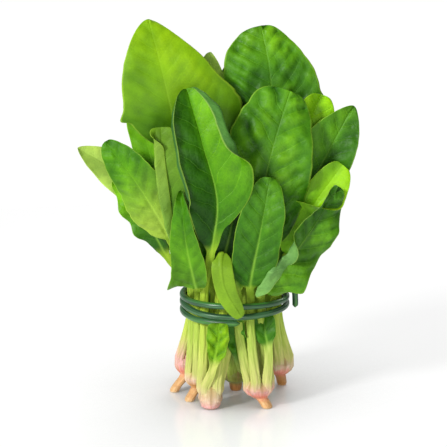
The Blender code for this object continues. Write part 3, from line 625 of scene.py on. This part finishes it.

    # Painted light and shade: each half, the base and the tip of the blade made lighter or darker by how
    # light falls on it.
    left_painted_light, right_painted_light, base_painted_light, tip_painted_light = one.tone
    tone = (right_painted_light + left_painted_light) / 2 + (right_painted_light - left_painted_light) / 2 * np.clip(across / 0.004, -1.0, 1.0)
    tone = tone * (base_painted_light + (tip_painted_light - base_painted_light) * smoothstep(0.0, 1.0, blade))
    # Painted shade in the creases between the pillows, and painted light on the pillows.
    tone = tone * (1 + PAINTED_CREASE_SHADE * one.pucker * pillow * within)
    tone = tone * (1 + PATCH_SHADE * one.bend * unevenness(PATCH_SIZE, 50.0, 6))
    # Painted glow: the middle of the blade lighter, as light shines through it.
    glow = one.glow * np.exp(-((to_edge / 0.6) ** 2) - ((blade - 0.55) / 0.35) ** 2)
    tone = (np.clip(tone, *TONE_RANGE) * (1 + glow))[..., None]
    base_yellow, tip_yellow = one.yellowing
    yellow = (base_yellow + (tip_yellow - base_yellow) * smoothstep(0.1, 0.8, blade))[..., None]
    look = LOOKS[one.look]
    face_colours = [(1 - yellow) * np.array(colour) * tone ** np.array(powers) + yellow * YELLOWED
                    for colour, powers in ((look.upper, UPPER_POWERS), (look.under, UNDER_POWERS))]
    line = np.exp(-((across / (MIDRIB_LINE * rib + 0.0002)) ** 2)) * (1 - 0.9 * smoothstep(0.2, 0.8, blade))
    ones = np.ones_like(across)
    stalk = np.broadcast_to(stalk_colours(plant, place[:, 2])[:, None], upper.shape)
    fields = {
        "leaf_place": [np.stack((across * 100, run * 100 * ones, ones * seed), axis=-1)] * 2,
        "leaf_form": [np.stack((phase, to_edge, line), axis=-1)] * 2,
        "leaf_side": [np.stack((ones * face, ones * one.veined, 1 - flat), axis=-1) for face in (1, 0)],
        "blade_colour_and_painted_light": face_colours,
        "stalk_colour": [stalk] * 2,
    }
    return np.stack((upper, lower)), fields


# Veins of a blade: side veins where the phase is a whole number, a fine net between them, and soft patches
veins, given, result = new_group(
    "leaf_veins", {"Place": "Vector", "Phase": "Float", "Edge": "Float"},
    ("Veins", "Net", "Patches", "Relief"))
wander = noise(veins, given["Place"], 1.3, 3.0)
wandering = calculate(veins, "ADD", given["Phase"], times(veins, wander, 0.30))
cycle = calculate(veins, "FRACT", wandering)
from_vein = calculate(veins, "ABSOLUTE", calculate(veins, "SUBTRACT", times(veins, cycle, 2.0), 1.0))
fading = ease(veins, given["Edge"], 0.55, 0.95, 1.0, 0.0)
side_vein = times(veins, ease(veins, from_vein, 0.90, 0.99), fading)
cells = add_node(
    veins, "ShaderNodeTexVoronoi", {"Vector": given["Place"], "Scale": 3.0}, feature="DISTANCE_TO_EDGE")
net = ease(veins, cells.outputs["Distance"], 0.0, 0.10, 1.0, 0.0)
broad = noise(veins, given["Place"], 0.55, 2.0)
fine = noise(veins, given["Place"], 7.0, 3.0)
both = calculate(veins, "ADD", times(veins, broad, 0.75), times(veins, fine, 0.25))
raised = times(veins, ease(veins, cells.outputs["Distance"], 0.0, 0.30), 0.35)
fill(veins, result, {
    "Veins": side_vein, "Net": net, "Patches": ease(veins, both, 0.34, 0.66),
    "Relief": calculate(veins, "SUBTRACT", raised, times(veins, side_vein, 0.7)),
})


def leaf_material():
    """The blade's colour with its painted light and shade, soft patches, veins, midrib and a painted light
    edge, and the ribbed petiole.
    """
    made, tree, shader = new_material("spinach_leaf")
    across, along, _, place = field(tree, "leaf_place")
    phase, edge, midrib, _ = field(tree, "leaf_form")
    upper, veined, stalk, _ = field(tree, "leaf_side")
    # The blade's colour, with its painted light and shade.
    own = field(tree, "blade_colour_and_painted_light")[3]
    on_blade, on_stalk = {"Place": place, "Phase": phase, "Edge": edge}, {"Around": across, "Along": along}
    pattern = add_node(tree, "ShaderNodeGroup", on_blade, node_tree=veins).outputs
    lines = add_node(tree, "ShaderNodeGroup", on_stalk, node_tree=fibres).outputs["Lines"]

    darker = blend(tree, 1.0, own, (0.80, 0.82, 0.80), "MULTIPLY")
    lighter = blend(tree, 1.0, blend(tree, 1.0, own, (0.14, 0.12, 0.10), "MULTIPLY"), own, "ADD")
    vein = blend(tree, 1.0, blend(tree, 1.0, own, (0.040, 0.060, 0.002), "ADD"), own, "SCREEN")
    colour = blend(tree, pattern["Patches"], darker, lighter)
    colour = blend(tree, times(tree, times(tree, pattern["Net"], 0.14), veined), colour, vein)
    strength = times(tree, ease(tree, upper, 0.0, 1.0, 0.65, 0.42), veined)
    colour = blend(tree, times(tree, pattern["Veins"], strength), colour, vein)
    plain = times(tree, midrib, ease(tree, veined, 0.0, 0.6, 0.35, 0.80))
    colour = blend(tree, plain, colour, blend(tree, 0.5, vein, (0.30, 0.52, 0.06)))
    # Painted light: the thin edge lighter, as light shows through it.
    painted_rim_light = ease(tree, edge, 0.95, 0.99)
    colour = blend(tree, times(tree, painted_rim_light, 0.60), colour, blend(tree, 0.5, vein, (0.42, 0.60, 0.06)))

    stem = field(tree, "stalk_colour")[3]
    greener = blend(tree, 1.0, stem, (0.50, 0.70, 0.22), "MULTIPLY")
    stem = blend(tree, times(tree, lines, 0.45), stem, greener)
    colour = blend(tree, ease(tree, stalk, 0.25, 0.85), colour, stem)

    blade_share = times(tree, calculate(tree, "SUBTRACT", 1.0, stalk), veined)
    blade_relief = times(tree, pattern["Relief"], blade_share)
    ribs = calculate(tree, "SUBTRACT", 1.0, lines)
    stalk_relief = times(tree, ribs, times(tree, stalk, 0.6))
    relief = calculate(tree, "ADD", blade_relief, stalk_relief)
    bump = add_node(tree, "ShaderNodeBump", {"Strength": 0.8, "Distance": 0.0005, "Height": relief})
    fill(tree, shader, {
        "Base Color": colour, "Roughness": ease(tree, pattern["Patches"], 0.0, 1.0, 0.44, 0.54),
        "Normal": bump.outputs[0], "Specular IOR Level": 0.20,
    })
    return made


LEAF_SKIN = leaf_material()


def grow(leaves, **shared):
    """Makes each leaf and puts it in place of its solid."""
    for name, one in leaves.items():
        node = "leaf_" + name
        points, fields = leaf_surfaces(one._replace(**shared), FEET[node], sorted(FEET).index(node) * 6)
        add_piece(node, points, skin_faces(*points.shape[1:3]), LEAF_SKIN, fields)


# The leaves at the top of the bunch, and the one at their back
grow({
    "top_left": Leaf(
        (205, 20), ((-26, -13, 190), (-35, -18, 232), (-49, -6, 285)), faces=((0, -1, 0.1), (0.1, -1, 0.2)),
        width=(32.5, 51), fold=(4, 2), curl=(-12, -14), outline=(0.6, 0.75), outline_right=(0.2, 0.84),
        lobes=(0.16, 0), lobe_at=(0.39, 0.045, 0.5), look="yellow", tone=(0.8, 1.02, 0.42, 1.1), glow=0.1,
        pucker=0.4, veined=0.15, detail=1.3),
    "top_right": Leaf(
        (300, 12), ((36, -1, 185), (41, -3, 225), (33, 10, 279)), faces=((-0.1, -1, 0.1), (-0.1, -1, 0.2)),
        width=(34, 42), fold=(6, -6), curl=(-16, -12), outline=(0.6, 0.42), outline_right=(0.2, 0.58),
        tone=(0.85, 1.15, 0.16, 1.3), pucker=1.9, bend=2.4, ragged=1.6, detail=1.3),
    # Its pale look and raised brightness are painted light on a tip that lies in the shade of the top left
    # leaf.
    "behind_tip": Leaf(
        (180, 10), ((6, 10, 170), (3, 14, 212), (-5, 14, 259)), faces=((-0.3, -1, 0.1),), width=(18, 14),
        outline=(0.7, 0.8), look="pale", tone=(1.3, 1.3, 1, 1), ragged=2, detail=0.8),
    "back_1": Leaf(
        (90, 11), ((16, 18, 160), (15, 24, 205), (14, 24, 250)), faces=((0.3, 1, 0.1),), width=(26, 19),
        fold=(18, 10), curl=(14, -8), outline=(0.45, 0.5), tone=(1.1, 0.8, 0.5, 1.2), pucker=1.2, bend=2,
        ragged=1.8),
})


# The leaves at the front: the tall one folded along its rib, the dark puckered one at the right of it, the
# long one before that, and the small ones that come up behind and fall down over the cord.
grow({
    "front_folded": Leaf(
        (227, 33), ((-4, -41, 116), (1, -45.5, 158), (-9, -43.5, 198), (-21, -35, 238)),
        faces=((-0.1, -1, 0.1), (-0.2, -1, 0.2)), width=(26.5, 31), fold=(40, 10), curl=(-20, -14),
        outline=(0.8, 0.66), outline_right=(0.8, 0.6), lobes=(0, -0.34), lobe_at=(0.2, 0.12, 0),
        rolls=((150, 0.32, 1, 0.8, 0.16), (168, 0.55, 1.05, 0.7, 0.1)), look="folded",
        tone=(0.25, 0.67, 0.75, 1.55), pucker=0.7, ragged=1.2, veined=0.7, detail=1.4),
    "centre_right": Leaf(
        (290, 22), ((31, -24, 118), (36, -28, 170), (54, -18, 234)), width=(34, 31), fold=(6, 6),
        curl=(-14, -14), outline=(0.5, 0.34), outline_right=(0.5, 0.48), tone=(0.95, 1.05, 0.75, 1.05),
        glow=0.15, pucker=1.9, bend=2.4, ragged=1.8, detail=1.3),
    "front_long": Leaf(
        (290, 33), ((25, -39, 92), (32, -47, 134), (39, -43, 175)), width=(18, 16.5), fold=(8, 10),
        curl=(-10, -10), outline=(0.42, 0.5), tone=(0.8, 1, 0.65, 1.1), pucker=1.1, bend=1.4, ragged=1.3,
        detail=1.1),
    "front_tongue": Leaf(
        (255, 33), ((3.5, -37, 102), (4, -40.5, 118), (3.5, -46, 113), (6, -48, 95), (19, -46.5, 72)),
        faces=((0, -1, 0.3), (0, -0.3, -1), (0, 1, 0), (0, 1, 0)), width=(7, 8.5), fold=(0, 0), curl=(8, 8),
        outline=(0.9, 0.3), outline_right=(0.9, 0.5), wave=(0, 1), look="yellow", tone=(0.75, 0.75, 1, 1),
        pucker=0.2, bend=0.5, veined=0.15),
    "behind_folded": Leaf(
        (242, 25), ((4, -31, 104), (11, -34, 135), (15, -30, 178)), width=(16, 17), fold=(6, 14),
        curl=(-6, -12), outline=(0.6, 0.6), look="deep", tone=(0.6, 0.5, 0.7, 1), pucker=0.5),
    "front_small": Leaf(
        (274, 33), ((15.5, -36, 88), (16, -36.5, 102), (15.5, -36, 118)), width=(6, 7), fold=(10, 10),
        outline=(0.5, 0.8), wave=(0, 1), look="deep", tone=(1.5, 2, 1, 1), bend=0.3, detail=0.6),
})


# The leaves that lean out to the right, one of them rolled over along its edge so that its pale lower face
# shows, and one with a waved edge that hangs out low.
grow({
    "right_rounded": Leaf(
        (322, 21), ((48, -7, 140), (62, -5, 185), (77, -3, 230)), faces=((0.3, -1, 0.1),), width=(17, 18),
        outline=(0.7, 0.4), look="bright", tone=(1.25, 1.45, 0.8, 1.25), detail=0.8),
    "right_pointed": Leaf(
        (351, 33), ((58, -4, 130), (78, -9, 178), (101, -7, 222)), faces=((0.1, -1, 0.2), (0.2, -1, 0.2)),
        width=(25, 20), fold=(8, 14), outline=(0.55, 0.8), outline_right=(0.9, 0.8),
        tone=(1.1, 0.7, 0.45, 1.3), pucker=1, bend=1.4, ragged=1.2),
    "right_rolled": Leaf(
        (336, 33), ((53, -15, 112), (69, -22, 146), (93, -20, 180)), faces=((0.1, -1, 0.2), (0.1, -1, 0.4)),
        width=(13, 19), fold=(8, 8), curl=(6, 6), outline=(0.5, 0.38), outline_right=(0.3, 0.38),
        lobes=(0, 0.25), lobe_at=(0.47, 0.13, 0), rolls=(UNROLLED, (172, -0.3, 0.6, 0.12, 0.14)),
        look="bright", tone=(1.05, 1.7, 1.35, 1.2), yellowing=(0, 0.15), pucker=0.3, bend=0.8, veined=0.2,
        detail=1.1),
    "right_low": Leaf(
        (306, 33), ((32, -40, 88), (62, -38, 124), (88.5, -34, 167)),
        faces=((0.4, -1, 0.2), (0.6, -0.9, 0.3)), width=(15.5, 19.5), fold=(20, 8), curl=(10, -20),
        outline=(0.36, 0.8), outline_right=(0.5, 0.5), lobes=(0, 0.3), lobe_at=(0.3, 0.06, 0.3),
        rolls=((160, -0.3, 0.44, 0.35, 0.12), UNROLLED), wave=(3, 3), look="deep",
        tone=(1.1, 1.5, 1.3, 0.8), pucker=1.6, bend=1.2, ragged=2.2, detail=1.3),
    "right_side": Leaf(
        (6, 33), ((62, 6, 104), (77, 5, 128), (90, 4, 156)), faces=((0.9, -0.3, 0), (0.9, -0.3, 0.2)),
        width=(16, 14), fold=(18, 6), curl=(14, -20), outline=(0.45, 0.8), wave=(2.5, 2.5), look="fresh",
        tone=(1.1, 0.8, 0.6, 1.2), yellowing=(0.5, 0), pucker=1.2, bend=1.8, ragged=2.2),
})


# The leaves that lean out to the left, from the pale pointed one that reaches furthest to the one with a
# lobe at its base that hangs down beside the cord.
grow({
    "far_left": Leaf(
        (160, 33), ((-46, 12, 142), (-74, 16, 168), (-104, 14, 187)),
        faces=((-0.3, -1, 0.4), (-0.2, -1, 0.6)), width=(15, 13), fold=(10, 10), outline=(0.6, 0.8),
        look="pale", tone=(1.15, 1.25, 1, 1.1), pucker=0.3, bend=0.5, veined=0.2, detail=0.8),
    "left_pointed": Leaf(
        (187, 33), ((-34, -18, 124), (-52, -24, 158), (-81, -18, 197)),
        faces=((-0.3, -1, 0.2), (-0.4, -1, 0.3)), width=(18, 19), fold=(8, 12), curl=(-18, -10),
        outline=(0.5, 0.62), look="fresh", tone=(0.95, 0.8, 1, 0.95), yellowing=(1, 0), pucker=1.4,
        bend=1.8, ragged=2, veined=0.5, detail=1.1),
    "left_wavy": Leaf(
        (173, 33), ((-34, -5, 104), (-52, -6, 136), (-73, -3, 168)),
        faces=((-0.5, -0.9, 0.1), (-0.5, -0.9, 0.2)), width=(13, 12), fold=(8, 10), outline=(0.7, 0.5),
        wave=(3, 3.5), look="bright", tone=(1, 1, 0.12, 1.2), ragged=3),
    "left_back": Leaf(
        (180, 21), ((-36, 0, 140), (-48, 0, 182), (-58, 3, 220)), faces=((-0.5, -1, 0.1),), width=(13, 14),
        outline=(0.6, 0.4), look="bright", tone=(1, 1.2, 0.7, 1), veined=0.3, detail=0.8),
    "left_upright": Leaf(
        (200, 33), ((-28, -31, 122), (-35.5, -38, 168), (-39.5, -37, 210.5)),
        faces=((0.1, -1, 0), (0.1, -1, 0.1), (0.1, -1, 0.5)), width=(15, 17), fold=(10, 16), curl=(4, 30),
        outline=(0.35, 0.32), rolls=((170, -0.3, 0.9, 0.42, 0.1), UNROLLED), wave=(0, 1), look="olive",
        tone=(1, 0.62, 0.85, 1.1), yellowing=(0, 0.3), pucker=0.4, bend=0.5, veined=0.3, detail=1.2),
    "left_low": Leaf(
        (214, 33), ((-14.5, -31, 90), (-21, -44, 124), (-25, -45, 166)),
        faces=((-0.2, -1, 0), (-0.2, -1, 0.1)), width=(13.6, 11.5), fold=(6, 14), curl=(-14, 10),
        outline=(0.3, 0.8), lobes=(0.62, 0), lobe_at=(0.11, 0.12, 1.1), look="fresh",
        tone=(0.95, 0.75, 1, 0.8), yellowing=(0.1, 0), pucker=1, bend=1.6, ragged=1.6, veined=0.4),
    "left_side": Leaf(
        (132, 33), ((-26, 34, 98), (-37, 42, 120), (-44, 47, 144)),
        faces=((-0.8, 0.7, 0.1), (-0.8, 0.7, 0.2)), width=(12, 14), fold=(6, 18), curl=(-16, 14),
        outline=(0.7, 0.5), wave=(2.5, 2.5), look="bright", tone=(0.8, 1, 0.6, 1.2), pucker=1.2, bend=1.8,
        ragged=2.4, detail=0.8),
})


# Young leaves that end below the cord, among the petioles.
grow({
    "young_front": Leaf(
        None, ((-3.5, -43.5, 28), (0.5, -44, 46), (2, -41.5, 66)), width=(8.5, 8.5), fold=(4, 10),
        outline=(0.6, 0.2), wave=(1.5, 2.5), look="yellow", tone=(0.75, 0.85, 1, 0.8), pucker=1.8,
        ragged=2.5, veined=1, detail=0.8),
    "young_right": Leaf(
        None, ((39, -34, 42), (36.5, -30, 56), (35.5, -26.5, 70)), width=(8.5, 8.5), outline=(0.45, 0.3),
        wave=(1, 2.5), look="deep", pucker=0.9, bend=0.5, detail=0.7),
    "young_middle": Leaf(
        None, ((18.5, -26, 28), (15.5, -32, 48), (14, -33, 68)), width=(7.5, 7.5), outline=(0.5, 0.3),
        wave=(3, 3), look="deep", pucker=1.5, bend=0.7, ragged=3, detail=0.8),
})


# Leaves in the depth of the bunch, which show as dark green between the outer ones: their dark and deep
# looks are painted shade.
grow({
    "inner_1": Leaf(
        (158, 21), ((-10, 9, 104), (-18, 7, 135), (-28, 7, 170)), faces=((-0.8, -0.6, 0),), width=(10, 12)),
    "inner_2": Leaf(
        (225, 22), ((-6, -22, 96), (-12, -27, 122), (-14, -27, 156)), width=(12, 12), look="deep"),
    "inner_3": Leaf(
        (266, 24), ((17, -27, 90), (19, -29, 106), (20, -30, 124)), width=(9, 9), look="deep"),
    "inner_4": Leaf(
        (350, 27), ((44, -6, 98), (51, -6, 122), (56, -6, 150)), faces=((0.3, -1, 0),), width=(13, 11),
        look="dark"),
    "inner_5": Leaf(
        (18, 22), ((40, 8, 105), (44, 7, 135), (50, 5, 170)), faces=((1, 0.1, 0),), width=(10, 10),
        look="dark"),
    "inner_6": Leaf(
        (250, 10), ((14, -9, 102), (14, -10, 130), (12, -10, 160)), width=(13, 13), look="deep"),
    "inner_7": Leaf(
        (114, 21), ((2, 16, 105), (0, 12, 135), (-2, 8, 165)), faces=((-0.2, 1, 0),), width=(9, 9),
        look="dark"),
    "inner_8": Leaf(
        (68, 21), ((26, 20, 105), (27, 18, 135), (28, 14, 166)), faces=((0.5, 1, 0),), width=(9, 9),
        look="deep"),
}, detail=0.6)


# The leaves round the back, which look away from the camera.
grow({
    "back_2": Leaf(
        (137, 22), ((-18, 22, 136), (-31, 27, 188), (-46, 26, 240)), faces=((-0.4, 1, 0.1), (-0.4, 1, 0.2)),
        width=(24, 25), fold=(8, 18), curl=(-16, 14), outline=(0.4, 0.48), outline_right=(0.7, 0.55),
        look="fresh", tone=(1.1, 0.85, 0.5, 1.25), pucker=1.3, bend=2.2, ragged=2),
    "back_3": Leaf(
        (44, 22), ((43, 20, 136), (52, 26, 188), (60, 24, 240)), faces=((0.4, 1, 0.1), (0.4, 1, 0.2)),
        width=(25, 27), fold=(18, 6), curl=(14, -14), outline=(0.6, 0.4), outline_right=(0.35, 0.4),
        lobes=(0, 0.12), look="deep", tone=(1.2, 1.5, 0.6, 1.2), pucker=1.7, bend=2.4, ragged=1.8),
    "back_4": Leaf(
        (92, 22), ((5, 33, 125), (0, 39, 170), (-7, 45, 217)), faces=((-0.1, 1, 0.2),), width=(20, 23),
        fold=(14, 22), curl=(14, -14), outline=(0.7, 0.55), rolls=((150, 0.25, 0.85, 0.7, 0.14), UNROLLED),
        look="bright", tone=(0.7, 1.1, 0.6, 1.1), yellowing=(0.3, 0), bend=1.8, ragged=1.5),
    "back_5": Leaf(
        (146, 33), ((-32, 28, 115), (-53, 32, 150), (-64, 30, 182)),
        faces=((-0.9, 0.5, 0.1), (-0.9, 0.5, 0.2)), width=(15, 19), fold=(18, 8), curl=(14, -20),
        outline=(0.45, 0.75), wave=(3, 2.5), look="fresh", tone=(0.8, 1, 0.6, 1.2), pucker=1.2, bend=2,
        ragged=2.5),
    "back_6": Leaf(
        (74, 33), ((32, 38, 120), (37, 42, 160), (43, 45, 203)), faces=(BACK,), width=(23, 20),
        fold=(6, 18), curl=(-16, 14), outline=(0.4, 0.45), outline_right=(0.7, 0.45),
        tone=(1, 0.75, 0.5, 1.15), pucker=1.7, bend=2.2, ragged=1.6),
    "back_7": Leaf(
        (22, 33), ((60, 21, 118), (78, 28, 154), (92, 28, 194)), faces=((0.9, 0.5, 0.1), (0.9, 0.5, 0.2)),
        width=(20, 22), fold=(18, 14), curl=(14, 8), outline=(0.6, 0.7),
        rolls=(UNROLLED, (150, 0.1, 0.7, 0.68, 0.14)), wave=(2.5, 2.5), look="deep",
        tone=(1.3, 1.1, 0.7, 1.3), pucker=1.3, bend=1.8, ragged=2.2),
    "back_8": Leaf(
        (94, 33), ((14, 41, 98), (16, 47, 128), (16, 49, 160)), faces=(BACK,), width=(18, 16), fold=(12, 6),
        curl=(14, -14), outline=(0.4, 0.75), outline_right=(0.6, 0.6), wave=(2.5, 2), look="fresh",
        tone=(1.1, 0.8, 0.8, 1), yellowing=(0.7, 0), pucker=1.3, bend=1.8, ragged=2.2),
    "back_9": Leaf(
        (119, 33), ((-8, 40, 98), (-15, 46, 124), (-23, 48, 155)), faces=((-0.2, 1, 0.1), (-0.2, 1, 0.2)),
        width=(14, 12), fold=(18, 10), curl=(14, -10), outline=(0.7, 0.5), wave=(3, 3), look="deep",
        tone=(1.4, 1.1, 0.8, 1.2), pucker=1.4, bend=1.5, ragged=2.6, detail=0.8),
    "back_10": Leaf(
        (50, 33), ((50, 37, 100), (60, 44, 124), (71, 47, 152)), faces=((0.4, 1, 0.1), (0.4, 1, 0.3)),
        width=(17, 14), fold=(6, 18), curl=(-16, 14), outline=(0.5, 0.35), look="bright",
        tone=(0.8, 1.05, 0.6, 1.2), pucker=1, bend=1.8, ragged=2, detail=0.8),
})


# The tie is one satin dark green cord, wound nearly three times round the petioles, with its free end
# standing up at the right. It is a round section with shallow grooves, carried along its route.
TIE_COIL_RADIUS = 0.0394
CORD_RADIUS = 0.0023
CORD_SIDES = 32
CORD_END_ROUNDING = 0.5
CORD_GROOVES = 0.035
CORD_POINTS_PER_TURN, CORD_ROWS_PER_TURN = 22, 90
CORD_TAIL = (
    (0.0596, -0.0070, 0.0690), (0.0596, -0.0072, 0.0760), (0.0588, -0.0070, 0.0815),
    (0.0556, -0.0045, 0.0835),
)
CORD_TURNS = (
    0.0, 0.25, 0.5, 0.6, 0.75, 1.0, 1.25, 1.5, 1.58, 1.66, 1.75, 1.85, 2.0, 2.25, 2.5, 2.62, 2.765,
)
CORD_HEIGHTS = (
    0.0815, 0.0800, 0.0778, 0.0776, 0.0780, 0.0764, 0.0742, 0.0730, 0.0716, 0.0698, 0.0696, 0.0704, 0.0712,
    0.0690, 0.0664, 0.0650, 0.0652,
)


def cord_rings():
    """Rings at right angles to the route: its free end, then the coil, with its height from the list."""
    turn = np.linspace(0.0, CORD_TURNS[-1], int(CORD_TURNS[-1] * CORD_POINTS_PER_TURN))
    coil = np.stack((
        TIE_CENTRE[0] + TIE_COIL_RADIUS * np.cos(2 * math.pi * turn),
        TIE_CENTRE[1] + TIE_COIL_RADIUS * np.sin(2 * math.pi * turn),
        np.interp(turn, CORD_TURNS, CORD_HEIGHTS),
    ), axis=1)
    route = np.concatenate((CORD_TAIL, coil[1:]))
    at = np.linspace(0.0, len(route) - 1.0, int(CORD_TURNS[-1] * CORD_ROWS_PER_TURN))
    place, direction = curve_through(route, at)
    outward = (place - TIE_CENTRE) * (1.0, 1.0, 0.0)
    outward -= np.sum(outward * direction, axis=1)[:, None] * direction
    outward /= np.linalg.norm(outward, axis=1)[:, None]
    beside = np.cross(direction, outward)
    around = (np.arange(CORD_SIDES) * 2 * math.pi / CORD_SIDES)[None, :]
    from_end = np.clip(np.minimum(at, at[-1] - at) / CORD_END_ROUNDING, 0.0, 1.0)
    ends = np.sqrt(np.clip(1 - (1 - from_end) ** 4, 0.05, 1.0))[:, None]
    grooves = 1 - CORD_GROOVES * (0.5 + 0.5 * np.cos(6 * around))
    radius = CORD_RADIUS * grooves * ends
    rings = (place[:, None] + (radius * np.cos(around))[..., None] * outward[:, None]
             + (radius * np.sin(around))[..., None] * beside[:, None])
    form = np.broadcast_arrays(at[:, None], np.cos(around), np.sin(around))
    return rings, place[[0, -1]], np.stack(form, axis=-1)


def cord_material():
    """Dark green with drawn-out lighter streaks along it, and a satin gloss."""
    made, tree, shader = new_material("tie_satin")
    form = field(tree, "cord_form")[3]
    drawn = add_node(tree, "ShaderNodeMapping", {"Vector": form, "Scale": (0.25, 2.2, 2.2)}).outputs[0]
    streak = noise(tree, drawn, 1.4, 4.0)
    colour = blend(tree, ease(tree, streak, 0.38, 0.62), (0.016, 0.060, 0.024), (0.055, 0.170, 0.060))
    stretch = noise(tree, drawn, 0.22, 1.0)
    colour = blend(tree, ease(tree, stretch, 0.54, 0.64, 0.0, 0.8), colour, (0.070, 0.290, 0.020))
    bump = add_node(tree, "ShaderNodeBump", {"Strength": 0.3, "Distance": 0.0003, "Height": streak})
    gloss = ease(tree, streak, 0.3, 0.7, 0.42, 0.28)
    fill(tree, shader, {"Base Color": colour, "Roughness": gloss, "Normal": bump.outputs[0]})
    return made


rings, cord_ends, cord_form = cord_rings()
cord_points = np.concatenate((rings.reshape(-1, 3), cord_ends))
cord_form = np.concatenate((cord_form.reshape(-1, 3), ((0.0, 0.0, 0.0), (1.0, 0.0, 0.0))))
cord_faces = tube_faces(*rings.shape[:2])
add_piece("tie_cord", cord_points, cord_faces, cord_material(), {"cord_form": cord_form})
